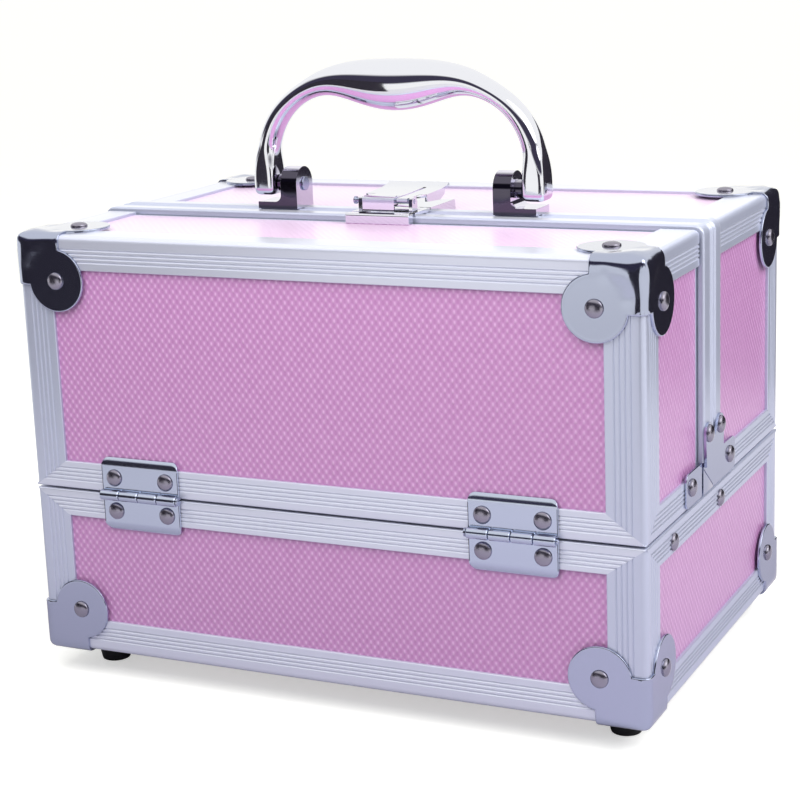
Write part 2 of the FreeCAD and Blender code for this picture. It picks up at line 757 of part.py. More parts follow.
def hinge_leaf(name, sense, rail_height, first_knuckle, bore):
    """One leaf of the right front hinge; sense +1 is the lid's leaf, -1 the base's."""
    leaf = new_body(name)
    low = axis_level + (S["knuckle_radius"] + 0.35) * sense
    rail_edge = axis_level + (rail_height + 0.9) * sense
    end = axis_level + S["hinge_leaf_height"] * sense
    skin = front - leaf_plate
    section = [(front, low), (skin, low), (skin, rail_edge), (front + 0.3, end),
               (front + 1.1, end - 0.6 * sense), (front, rail_edge)]
    pad(leaf, name + "Plate", "YZ_Plane", [section], hinge_place - leaf_half,
        hinge_place + leaf_half)
    for number in range(first_knuckle, knuckle_count, 2):
        start = hinge_place - leaf_half + knuckle_length * number + knuckle_gap
        end_x = hinge_place - leaf_half + knuckle_length * (number + 1) - knuckle_gap
        web = rectangle(skin, axis_level, front - 0.05, low + 0.3 * sense)
        pad(leaf, "%sWeb%d" % (name, number), "YZ_Plane", [web], start, end_x)
        barrel = [shaft(axis_y, axis_level, S["knuckle_radius"])]
        pad(leaf, "%sKnuckle%d" % (name, number), "YZ_Plane", barrel, start, end_x)
    pocket(leaf, name + "Bore", "YZ_Plane", [bore],
           hinge_place - leaf_half - 1, hinge_place + leaf_half + 1)
    return leaf


loose_bore = eye(axis_y, axis_level, S["hinge_pin_radius"] + S["running_fit"])
tight_bore = eye(axis_y, axis_level, S["hinge_pin_radius"])
lid_leaf = hinge_leaf("LidLeaf", 1, S["lid_rail_height"], 0, loose_bore)
base_leaf = hinge_leaf("BaseLeaf", -1, S["base_rail_height"], 1, tight_bore)
pair("front_hinge_lid_leaves", lid_leaf)
pair("rear_hinge_lid_leaves", mirrored(lid_leaf, "LidLeafRear", ALONG))
four("hinge_base_leaves", base_leaf)

ROUND = 0


def stepped(name, steps, centre_y, centre_z):
    """A pin along X about (y, z): each step gives its ends, its radius and its number of sides.

    A step of no sides is truly round."""
    body = new_body(name)
    for number, (start, end, radius, sides) in enumerate(steps):
        outline = round_bar(centre_y, centre_z, radius)
        if sides:
            outline = ring_of_points(centre_y, centre_z, radius, sides)
        pad(body, "%sStep%d" % (name, number), "YZ_Plane", [outline], start, end)
    return body


pin_start = hinge_place - leaf_half
pin_radius = S["hinge_pin_radius"]
hinge_pin = stepped("HingePin", [
    (pin_start - 0.3, hinge_place + leaf_half + 0.4, pin_radius, ROUND),
    (pin_start - 1.2, pin_start - 0.2, pin_radius + 0.5, 8),
], axis_y, axis_level)
four("hinge_pins", hinge_pin)


def leaf_rivets(name, sense):
    """The two rivets of one leaf of the right front hinge."""
    level = axis_level + S["hinge_rivet_rise"] * sense
    return [rivet_head(name + "A", "XZ_Plane", hinge_place - S["hinge_rivet_place"], level,
                       front - leaf_plate),
            rivet_head(name + "B", "XZ_Plane", hinge_place + S["hinge_rivet_place"], level,
                       front - leaf_plate)]


lid_leaf_rivets = leaf_rivets("LidLeafRivet", 1)
front_lid_rivets += lid_leaf_rivets
rear_lid_rivets += [mirrored(head, head.Name + "Back", ALONG) for head in lid_leaf_rivets]
base_rivets += with_mirrors(leaf_rivets("BaseLeafRivet", -1), ALONG)
group("base_rivets", with_mirrors(base_rivets, ACROSS))

# ---------------------------------------------------------------- side plates at the strip foot

skin_plate = 0.9
rail_top = lid_low + S["lid_rail_height"]
plate_low = lid_low + 0.7
plate_high = rail_top + 2.8
wing_reach = 29.5

foot_plate = new_body("StripFootPlate")
wing_end = strip_middle + wing_reach
wing = [(strip_front + 0.1, plate_low), (wing_end - 2, plate_low, 2, 1), (wing_end, plate_low + 2),
        (wing_end, plate_high - 3, 3, 1), (wing_end - 3, plate_high),
        (strip_rear + 2.5, plate_high), (strip_rear + 0.2, plate_high),
        (strip_rear + 0.2, foot_level), (strip_front + 0.1, foot_level)]
pad(foot_plate, "FootPlateWing", "YZ_Plane", [wing], side, side + skin_plate)
step_out = side + S["strip_proud"] + skin_plate
joggle = rectangle(strip_front + 0.1, foot_level - 1.6, strip_rear + 0.2, foot_level - 0.05)
pad(foot_plate, "FootPlateStep", "YZ_Plane", [joggle], side, step_out)
lobe_place = 6.9
lobe_radius = 4.1
lobe_level = bottom + 86.5
left_lobe = strip_middle - lobe_place
right_lobe = strip_middle + lobe_place
stem = [(strip_front + 0.1, foot_level - 1.6), (strip_rear + 0.2, foot_level - 1.6),
        (right_lobe + lobe_radius, lobe_level, lobe_radius, 1),
        (right_lobe - lobe_radius, lobe_level), (strip_middle, lobe_level - 2.2),
        (left_lobe + lobe_radius, lobe_level, lobe_radius, 1),
        (left_lobe - lobe_radius, lobe_level)]
pad(foot_plate, "FootPlateStem", "YZ_Plane", [stem], side + S["strip_proud"], step_out)
mark = 0.25
slant = [(strip_front + 0.1, plate_high - 3.1), (strip_middle + 2.2, plate_low),
         (strip_middle + 2.9, plate_low), (strip_front + 0.1, plate_high - 2.4)]
pocket(foot_plate, "FootPlateSlant", "YZ_Plane", [slant], side + skin_plate - mark,
       side + skin_plate + 1)
pair("strip_foot_plates", foot_plate)

wing_plate = new_body("LidWingPlate")
wing_start = strip_middle - wing_reach
front_wing = [(seam - 0.1, plate_low), (seam - 0.1, plate_high), (wing_start + 3, plate_high, 3, 1),
              (wing_start, plate_high - 3), (wing_start, plate_low + 2, 2, 1),
              (wing_start + 2, plate_low)]
pad(wing_plate, "LidWing", "YZ_Plane", [front_wing], side, side + skin_plate)
pair("front_lid_wing_plates", wing_plate)

wing_rivet = S["wing_rivet_place"]
wing_level = lid_low + S["wing_rivet_rise"]
rear_lid_rivets += [
    rivet_head("FootPlateRivetA", "YZ_Plane", left_lobe, lobe_level, step_out),
    rivet_head("FootPlateRivetB", "YZ_Plane", right_lobe, lobe_level, step_out),
    rivet_head("FootPlateRivetC", "YZ_Plane", strip_middle + wing_rivet, wing_level,
               side + skin_plate),
]
group("rear_lid_rivets", with_mirrors(rear_lid_rivets, ACROSS))
front_lid_rivets.append(rivet_head("LidWingRivet", "YZ_Plane", strip_middle - wing_rivet,
                                   wing_level, side + skin_plate))
group("front_lid_rivets", with_mirrors(front_lid_rivets, ACROSS))

# ---------------------------------------------------------------- carry handle

handle_y = front + S["handle_place"]
handle_z = strip_top + S["pivot_rise"]
grip_top = handle_z + S["handle_rise"]
span = S["handle_span"]
ear_half = S["bracket_depth"] / 2
foot_inner = span - S["foot_width"]

arch_half = (S["handle_span"] + foot_inner) / 2
arch_rise = grip_top - S["grip_thickness"] / 2 + S["grip_dip"] - S["arch_start"] - handle_z
power = 2 / 2.6


def arch_centre(angle):
    """Centre line of the grip as shares of its half span and its rise: a squared-off half oval."""
    across = math.copysign(abs(math.cos(angle)) ** power, math.cos(angle))
    return across, math.sin(angle) ** power


def swell(across, width):
    """One in the middle of the grip, falling smoothly to nothing at the given share of the span."""
    if abs(across) >= width:
        return 0.0
    return math.cos(math.pi / 2 * across / width) ** 2


GRIP_SIDES = 10


def oval_of_points(half_u, half_v, count):
    """A closed oval section of straight sides, with corners on both of its axes."""
    loop = []
    for number in range(count):
        angle = 2 * math.pi * number / count
        loop.append((half_u * math.cos(angle), half_v * math.sin(angle)))
    return loop


# Turn along the arch of each section on one side, from the foot to the middle of the grip.
HALF_TURNS = (0.0, 0.13, 0.30, 0.50, 0.74, 1.00, 1.26)
turns = list(HALF_TURNS) + [math.pi / 2] + [math.pi - turn for turn in reversed(HALF_TURNS)]
station_count = len(turns)
stations = []
for number, angle in enumerate(turns):
    across, up = arch_centre(angle)
    before = arch_centre(max(angle - 0.02, 0.0))
    after = arch_centre(min(angle + 0.02, math.pi))
    run = (after[0] - before[0]) * arch_half.value
    rise = (after[1] - before[1]) * arch_rise.value
    along = Vector(run, 0, rise)
    if number in (0, station_count - 1):
        along = Vector(0, 0, rise)
    along.normalize()
    fat = swell(across, 0.78)
    deep = S["leg_depth"] / 2 + (S["grip_depth"] - S["leg_depth"]) / 2 * swell(across, 0.93)
    slim = (S["leg_thickness"] - S["shoulder_thickness"]) / 2 * min(up / 0.7, 1.0)
    thick = S["leg_thickness"] / 2 - slim
    thick += (S["grip_thickness"] - S["shoulder_thickness"]) / 2 * fat
    section = doc.addObject("Sketcher::SketchObject", "HandleStation%02d" % number)
    draw_loop(section, oval_of_points(deep, thick, GRIP_SIDES))
    turn = Rotation(Vector(0, 1, 0), Vector(0, 0, 1), along, "ZXY")
    section.Placement = Placement(Vector(0, 0, 0), turn)
    bind(section, "Placement.Base.x", arch_half * across)
    bind(section, "Placement.Base.y", handle_y)
    bind(section, "Placement.Base.z",
         handle_z + S["arch_start"] + arch_rise * up - S["grip_dip"] * swell(across, 0.6))
    section.Visibility = False
    stations.append(section)

grip = doc.addObject("Part::Loft", "HandleGrip")
grip.Sections = stations
grip.Solid = True
grip.Ruled = True

handle_foot = new_body("HandleFoot")
toe = S["foot_half_depth"]
corner = S["foot_corner"]
sole = handle_z - S["foot_under"]
ankle = S["leg_depth"] / 2 - 0.6
foot_shape = [(handle_y - toe, sole + corner, corner, 1), (handle_y - toe + corner, sole),
              (handle_y + toe - corner, sole, corner, 1), (handle_y + toe, sole + corner),
              (handle_y + toe, handle_z + 1.0), (handle_y + ankle, handle_z + 8),
              (handle_y - ankle, handle_z + 8), (handle_y - toe, handle_z + 1.0)]
pad(handle_foot, "HandleFootPad", "YZ_Plane", [foot_shape], foot_inner, span)
handle_body = doc.addObject("Part::MultiFuse", "HandleBody")
handle_body.Shapes = [grip, handle_foot, mirrored(handle_foot, "HandleFootLeft", ACROSS)]
handle_bore = new_body("HandleBore")
blind_end = span - 1.6
pad(handle_bore, "HandleBorePad", "YZ_Plane",
    [eye(handle_y, handle_z, S["handle_pin_radius"] + S["running_fit"])], -blind_end, blind_end)
handle = doc.addObject("Part::Cut", "CarryHandle")
handle.Base = handle_body
handle.Tool = handle_bore
keep(handle, "carry_handle")

bracket = new_body("HandleBracket")
ear_out = S["bracket_inner"] + S["bracket_ear"]
lap = S["bracket_lap"]
profile = [(S["bracket_inner"], strip_top), (S["bracket_outer"], strip_top),
           (S["bracket_outer"], strip_top + S["bracket_base"]),
           (ear_out + lap, strip_top + S["bracket_base"], lap, -1),
           (ear_out, strip_top + S["bracket_base"] + lap),
           (ear_out, handle_z + ear_half), (S["bracket_inner"], handle_z + ear_half)]
pad(bracket, "BracketAngle", "XZ_Plane", [profile], handle_y - ear_half, handle_y + ear_half)
crown_cut = [(handle_y - ear_half - 2, handle_z), (handle_y - ear_half, handle_z, ear_half, -1),
             (handle_y, handle_z + ear_half, ear_half, -1), (handle_y + ear_half, handle_z),
             (handle_y + ear_half + 2, handle_z), (handle_y + ear_half + 2, handle_z + 12),
             (handle_y - ear_half - 2, handle_z + 12)]
pocket(bracket, "BracketCrown", "YZ_Plane", [crown_cut], S["bracket_inner"] - 1, ear_out + 0.5)
pad(bracket, "BracketBoss", "YZ_Plane", [shaft(handle_y, handle_z, S["boss_radius"])], ear_out,
    foot_inner - 0.3)
pocket(bracket, "BracketBore", "YZ_Plane", [eye(handle_y, handle_z, S["handle_pin_radius"])],
       S["bracket_inner"] - 1, foot_inner + 1)
pair("handle_brackets", bracket)

pivot_radius = S["handle_pin_radius"]
ear_in = S["bracket_inner"]
handle_pin = stepped("HandlePin", [
    (ear_in - 0.1, blind_end - 0.3, pivot_radius, PIN_SIDES),
    (ear_in - 0.8, ear_in, pivot_radius + 1.2, PIN_SIDES),
], handle_y, handle_z)
pair("handle_pins", handle_pin)

# ---------------------------------------------------------------- latch

latch_half = S["latch_half_width"]
latch_top = top + S["latch_top"]
panel_level = top - plate
latch_front = seam - 4.2

keeper = new_body("LatchKeeper")
keeper_section = [(latch_front, panel_level), (latch_front, latch_top - 0.5),
                  (latch_front + 0.5, latch_top), (seam - 0.1, latch_top),
                  (seam - 0.1, panel_level)]
pad(keeper, "KeeperBar", "YZ_Plane", [keeper_section], -latch_half, latch_half)
keep(keeper, "latch_keeper")

latch_rear = front + S["latch_rear_place"]
lever_y = front + S["lever_axis_place"]
lever_z = top + S["lever_axis_rise"]
latch_base = new_body("LatchBase")
base_section = [(strip_front + 0.1, strip_top), (strip_rear + 0.1, strip_top),
                (strip_rear + 0.1, panel_level), (latch_rear, panel_level),
                (latch_rear, latch_top - 0.6), (latch_rear - 0.6, latch_top),
                (strip_front + 14.2, latch_top), (strip_front + 14.0, latch_top - 0.8),
                (strip_front + 13.4, latch_top - 0.8), (strip_front + 13.2, latch_top),
                (strip_front + 0.1, latch_top)]
pad(latch_base, "LatchPlate", "YZ_Plane", [base_section], -latch_half, latch_half)
ear_low = lever_y - 1.9
ear_high = lever_y + 2.6
ear = [(ear_low, latch_top - 0.5), (ear_high, latch_top - 0.5), (ear_high, lever_z),
       (lever_y + 1.4, lever_z + 1.4), (lever_y - 1.2, lever_z + 1.4), (ear_low, lever_z)]
ear_right = 10.2
ear_thick = 1.4
ear_left = -8.8
pad(latch_base, "LatchEarRight", "YZ_Plane", [ear], ear_right, ear_right + ear_thick)
pad(latch_base, "LatchEarLeft", "YZ_Plane", [ear], ear_left - ear_thick, ear_left)
pocket(latch_base, "LatchHookRoom", "YZ_Plane",
       [rectangle(strip_front, latch_top - 0.9, strip_front + 8, latch_top + 0.1)],
       ear_left, ear_right)
pocket(latch_base, "LatchEarBores", "YZ_Plane",
       [eye(lever_y, lever_z, S["lever_pin_radius"])], -latch_half - 1, latch_half + 1)
keep(latch_base, "latch_base")

lever = new_body("LatchLever")
lever_end = front + S["lever_end_place"]
lever_low = lever_z + 0.2
lever_high = lever_z + 1.3
flare_y = lever_y + 5.2
lever_wall = lever_y - 2.3
lever_section = [(lever_wall, lever_low - 3.9), (lever_y - 1.5, lever_low - 3.9),
                 (lever_y - 1.5, lever_low), (flare_y + 7, lever_low),
                 (flare_y + 7, lever_high), (lever_wall, lever_high)]
lever_left = -8.4
lever_right = 9.8
tail_half = latch_half - 0.3
pad(lever, "LeverPlate", "YZ_Plane", [lever_section], lever_left, lever_right)
tail_section = [(flare_y + 4, lever_low), (lever_end - 7, lever_low + 0.3),
                (lever_end - 2.5, lever_low + 1.0), (lever_end - 0.2, lever_low + 2.0),
                (lever_end - 0.5, lever_high + 1.9), (lever_end - 2.8, lever_high + 1.0),
                (lever_end - 7.2, lever_high + 0.4), (flare_y + 4, lever_high)]
pad(lever, "LeverTail", "YZ_Plane", [tail_section], -tail_half, tail_half)
flare = [(lever_left + 0.5, flare_y), (lever_right - 0.5, flare_y), (tail_half, flare_y + 4.2),
         (-tail_half, flare_y + 4.2)]
pad(lever, "LeverFlare", "XY_Plane", [flare], lever_low + 0.05, lever_high - 0.05)
cheek = [(flare_y + 4.4, lever_low + 0.4), (flare_y + 4.4, lever_low - 1.6),
         (lever_end - 9, lever_low - 2.4), (lever_end - 4.6, lever_low - 0.5),
         (lever_end - 4.6, lever_low + 0.5)]
cheek_plate = 1.0
pad(lever, "LeverCheekRight", "YZ_Plane", [cheek], tail_half - cheek_plate, tail_half)
pad(lever, "LeverCheekLeft", "YZ_Plane", [cheek], -tail_half, -tail_half + cheek_plate)
barrel = [shaft(lever_y, lever_z, 1.9)]
pad(lever, "LeverBarrel", "YZ_Plane", barrel, lever_left, 4.4)
pocket(lever, "LeverSlot", "XY_Plane",
       [rectangle(4.4, lever_y - 3, 5.6, lever_end - 6)], lever_z - 6, lever_z + 4)
pocket(lever, "LeverMouth", "XZ_Plane",
       [rectangle(5.5, lever_low - 5, lever_right + 1, lever_low - 0.01)],
       lever_y - 3, lever_y - 0.5)
pocket(lever, "LeverBore", "YZ_Plane",
       [eye(lever_y, lever_z, S["lever_pin_radius"] + S["running_fit"])],
       lever_left - 1, lever_right + 1)
keep(lever, "latch_lever")

ear_far = ear_right + ear_thick
lever_pin = stepped("LeverPin", [
    (-11.7, ear_far, S["lever_pin_radius"], ROUND),
    (-12.6, -11.6, 1.5, 10),
], lever_y, lever_z)
keep(lever_pin, "latch_lever_pin")

# ---------------------------------------------------------------- tray, arms and their pivots

arm_in = S["arm_inner_face"]
arm_out = arm_in + S["arm_plate"]
half_arm = S["arm_width"] / 2


def arm(name, place_y):
    """A flat arm built level from its base pivot, then leaned back about that pivot."""
    bar = new_body(name)
    length = S["arm_length"]
    far_end = ring_of_points(length, 0, half_arm, PIN_SIDES)
    near_end = ring_of_points(0, 0, half_arm, PIN_SIDES)
    half = PIN_SIDES // 2
    quarter = half // 2
    shape = far_end[-quarter:] + far_end[:quarter] + near_end[quarter:quarter + half]
    pad(bar, name + "Bar", "YZ_Plane", [shape], arm_in, arm_out)
    free = S["pivot_radius"] + S["running_fit"]
    pocket(bar, name + "Eyes", "YZ_Plane", [eye(0, 0, free), eye(length, 0, free)],
           arm_in - 1, arm_out + 1)
    bar.Placement = Placement(Vector(0, place_y.value, pivot_z.value),
                              Rotation(Vector(1, 0, 0), S["arm_angle"].value))
    bind(bar, "Placement.Base.y", place_y)
    bind(bar, "Placement.Base.z", pivot_z)
    bind(bar, "Placement.Rotation.Angle", S["arm_angle"])
    return bar


pair("front_tray_arms", arm("FrontArm", front_pivot_y))
pair("rear_tray_arms", arm("RearArm", rear_pivot_y))

shank = S["pivot_radius"]
collar = shank + 1.0
washer = 0.05
COLLAR_SIDES = 8


def base_pivot(name, place_y):
    """Rivet through the base side that carries an arm."""
    rivet = stepped(name, [
        (arm_in - 0.6, arm_in - washer, collar, COLLAR_SIDES),
        (arm_in - washer, arm_out + washer, shank, ROUND),
        (arm_out + washer, inner_side, collar, COLLAR_SIDES),
        (inner_side, side, shank, PIN_SIDES),
    ], place_y, pivot_z)
    sketch = new_sketch(rivet, name + "HeadSketch", "YZ_Plane",
                        [ring_of_points(place_y, pivot_z, S["rivet_radius"], RIVET_SIDES)], side)
    head = rivet.newObject("PartDesign::Pad", name + "Head")
    head.Profile = sketch
    bind(head, "Length", S["rivet_rise"])
    head.TaperAngle = -RIVET_TAPER
    sketch.Visibility = False
    doc.recompute()
    return rivet


base_rivet_front = base_pivot("BasePivotFront", front_pivot_y)
base_rivet_rear = base_pivot("BasePivotRear", rear_pivot_y)
group("base_arm_rivets", with_mirrors([base_rivet_front, base_rivet_rear], ACROSS))

tray_side = S["tray_half_width"]
tray_front = front + S["tray_front_place"]
tray_rear = tray_front + S["tray_length"]
tray_low = base_top + S["tray_clear"]
tray_high = tray_low + S["tray_height"]
wall = S["tray_wall"]

tray = new_body("Tray")
pad(tray, "TrayBlock", "XY_Plane",
    [rectangle(-tray_side, tray_front, tray_side, tray_rear)], tray_low, tray_high)
bays = []
middle_wall = (tray_front + tray_rear) / 2 - 6
thirds = (tray_side * 2 - wall * 4) / 3
for number in range(3):
    start = -tray_side + wall + (thirds + wall) * number
    bays.append(rectangle(start, tray_front + wall, start + thirds, middle_wall))
halves = (tray_side * 2 - wall * 3) / 2
for number in range(2):
    start = -tray_side + wall + (halves + wall) * number
    bays.append(rectangle(start, middle_wall + wall, start + halves, tray_rear - wall))
pocket(tray, "TrayBays", "XY_Plane", bays, tray_low + wall, tray_high + 1)
link_eye = eye(lid_pin_y, lid_pin_z, lid_pin_radius + S["link_slack"])
pocket(tray, "TrayLinkEyeRight", "YZ_Plane", [link_eye], tray_side - wall - 0.5, tray_side + 1)
pocket(tray, "TrayLinkEyeLeft", "YZ_Plane", [link_eye], -tray_side - 1, -tray_side + wall + 0.5)
keep(tray, "lift_tray")


def tray_pivot(name, place_y, sides):
    """Headed stud on the side of the tray that turns in the eye of an arm."""
    return stepped(name, [
        (tray_side, arm_out + washer + 0.1, shank, sides),
        (tray_side, arm_in - washer, collar, 8),
        (arm_out + washer, arm_out + washer + 0.4, collar, 8),
    ], place_y + lift_y, pivot_z + lift_z)


stud_front = tray_pivot("TrayStudFront", front_pivot_y, ROUND)
stud_rear = tray_pivot("TrayStudRear", rear_pivot_y, PIN_SIDES)
group("tray_studs", with_mirrors([stud_front, stud_rear], ACROSS))

lid_pin = stepped("TrayLinkPin", [(tray_side - 1.3, inner_side, lid_pin_radius, PIN_SIDES)],
                  lid_pin_y, lid_pin_z)
pair("tray_link_pins", lid_pin)

# ---------------------------------------------------------------- mirror and feet

FOOT_SIDES = 10

ceiling = top - plate - board - cloth
mirror_half = 75.0
mirror_front = front + 73.0
mirror_rear = front + 145.0
glass = 2.0
keep(box("MirrorGlass", (-mirror_half, mirror_front, ceiling - glass),
         (mirror_half, mirror_rear, ceiling)), "lid_mirror")


def mirror_clip(name, x, y, way_x, way_y):
    """A small corner clip that laps the mirror."""
    clip = new_body(name)
    around = [(x + 1.5 * way_x, y + 1.5 * way_y), (x - 9 * way_x, y + 1.5 * way_y),
              (x - 9 * way_x, y - 0.01 * way_y), (x - 0.01 * way_x, y - 9 * way_y),
              (x + 1.5 * way_x, y - 9 * way_y)]
    pad(clip, name + "Lap", "XY_Plane", [around], ceiling - glass - 0.8, ceiling - glass)
    post = [(x + 1.5 * way_x, y + 1.5 * way_y), (x - 9 * way_x, y + 1.5 * way_y),
            (x - 9 * way_x, y + 0.1 * way_y), (x + 0.1 * way_x, y + 0.1 * way_y),
            (x + 0.1 * way_x, y - 9 * way_y), (x + 1.5 * way_x, y - 9 * way_y)]
    pad(clip, name + "Post", "XY_Plane", [post], ceiling - glass - 0.1, ceiling)
    return clip


clips = [mirror_clip("ClipFront", mirror_half, mirror_front, 1, -1),
         mirror_clip("ClipRear", mirror_half, mirror_rear, 1, 1)]
group("mirror_clips", with_mirrors(clips, ACROSS))

foot = new_body("RubberFoot")
foot_tall = S["foot_height"] - S["cap_plate"]
foot_ring = ring_of_points(side - S["foot_inset"], front + S["foot_setback"],
                           S["foot_end_radius"] + S["foot_flare"] * foot_tall, FOOT_SIDES)
foot_sketch = new_sketch(foot, "RubberFootSketch", "XY_Plane", [foot_ring], foot_tall)
foot_pad = foot.newObject("PartDesign::Pad", "RubberFootPad")
foot_pad.Profile = foot_sketch
foot_pad.Reversed = True
bind(foot_pad, "Length", foot_tall)
foot_pad.TaperAngle = -math.degrees(math.atan(S["foot_flare"].value))
foot_sketch.Visibility = False
doc.recompute()
four("rubber_feet", foot)

# ---------------------------------------------------------------- check and write

doc.recompute()
os.makedirs("parts", exist_ok=True)
for thing in doc.Objects:
    if "Invalid" in thing.State or "Error" in thing.State:
        raise RuntimeError("%s is %s" % (thing.Name, thing.State))
for thing in NODES:
    if thing.Shape.isNull() or not thing.Shape.isValid():
        raise RuntimeError("%s has no valid shape" % thing.Label)
    thing.Shape.exportStep("parts/%s.step" % thing.Label)
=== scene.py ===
import json
import math

import bmesh
import bpy
import numpy as np
from mathutils import Matrix, Vector

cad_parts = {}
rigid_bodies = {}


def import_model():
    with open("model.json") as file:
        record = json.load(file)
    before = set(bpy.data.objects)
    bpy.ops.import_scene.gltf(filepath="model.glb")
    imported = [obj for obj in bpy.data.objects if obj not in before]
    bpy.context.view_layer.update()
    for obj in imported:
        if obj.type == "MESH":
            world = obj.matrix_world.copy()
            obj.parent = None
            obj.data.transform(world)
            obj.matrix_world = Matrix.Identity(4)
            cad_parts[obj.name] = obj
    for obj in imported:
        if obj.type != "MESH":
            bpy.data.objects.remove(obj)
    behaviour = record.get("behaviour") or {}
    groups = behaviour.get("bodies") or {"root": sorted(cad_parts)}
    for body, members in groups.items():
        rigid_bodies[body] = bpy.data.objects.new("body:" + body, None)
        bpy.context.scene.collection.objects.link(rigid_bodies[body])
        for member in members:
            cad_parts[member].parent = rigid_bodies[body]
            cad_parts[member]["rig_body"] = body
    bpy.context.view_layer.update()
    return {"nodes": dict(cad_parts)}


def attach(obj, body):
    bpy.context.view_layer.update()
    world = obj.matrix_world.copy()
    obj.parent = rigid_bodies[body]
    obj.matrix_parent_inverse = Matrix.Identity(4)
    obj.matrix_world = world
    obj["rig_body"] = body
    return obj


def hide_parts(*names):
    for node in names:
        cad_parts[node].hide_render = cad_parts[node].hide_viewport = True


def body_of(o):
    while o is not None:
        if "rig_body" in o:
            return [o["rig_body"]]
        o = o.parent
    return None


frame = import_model()

MM = 0.001

# Levels and places of the case, in millimetres, the same as in the part's source.
SIDE = 120.0
INNER_SIDE = 115.0
ARM_INNER = 112.7
ARM_OUTER = 113.9
FRONT = -81.75
REAR = -FRONT
BOTTOM = 11.0
BASE_TOP = 74.1
LID_LOW = 74.9
TOP = 170.0
AXIS_LEVEL = 74.5
SEAM = -22.75
STRIP_FRONT = -21.35
STRIP_REAR = -0.95
STRIP_TOP = 171.3
STRIP_SIDE = 121.3
PLATE = 1.2
POST = 14.0
TOP_DROP = 12.5
TOP_REACH = 14.0
LID_RAIL = 10.3
BASE_RAIL = 10.0
LIP = 5.2
EDGE_ROUND = 2.2
RIM_ROUND = 0.7
LINING_TOP = 165.0
MID_HEIGHT = 90.0


# ---------------------------------------------------------------- finishes


def srgb(red, green, blue):
    """A colour given as eight-bit display values, in the linear values a shader takes."""
    shares = np.array([red, green, blue]) / 255.0
    linear = np.where(shares <= 0.04045, shares / 12.92, ((shares + 0.055) / 1.055) ** 2.4)
    return (*linear.tolist(), 1.0)


def wire(tree, source, target):
    """A link from an output socket to an input socket."""
    tree.links.new(source, target)


def math_node(tree, operation, *values):
    """A Math node; a value is a number or the socket that feeds it."""
    node = tree.nodes.new("ShaderNodeMath")
    node.operation = operation
    for index, value in enumerate(values):
        if isinstance(value, (int, float)):
            node.inputs[index].default_value = value
        else:
            wire(tree, value, node.inputs[index])
    return node.outputs[0]


def effect_group(name, inputs, outputs):
    """An empty shader node group with its named sockets, and its two end nodes."""
    group = bpy.data.node_groups.new(name, "ShaderNodeTree")
    for label, kind in inputs:
        group.interface.new_socket(name=label, in_out="INPUT", socket_type=kind)
    for label, kind in outputs:
        group.interface.new_socket(name=label, in_out="OUTPUT", socket_type=kind)
    return group, group.nodes.new("NodeGroupInput"), group.nodes.new("NodeGroupOutput")


FACE_LIMIT = 0.6
KNOB_GAIN = 0.62
KNOB_LEVEL = 0.38
KNOB_POWER = 1.5
KNOB_SHINE = 0.16
FILM_ROUGH = 0.46
WEAR_SCALE = 260.0
WEAR_GAIN = 0.35
WEAR_LEVEL = -0.17


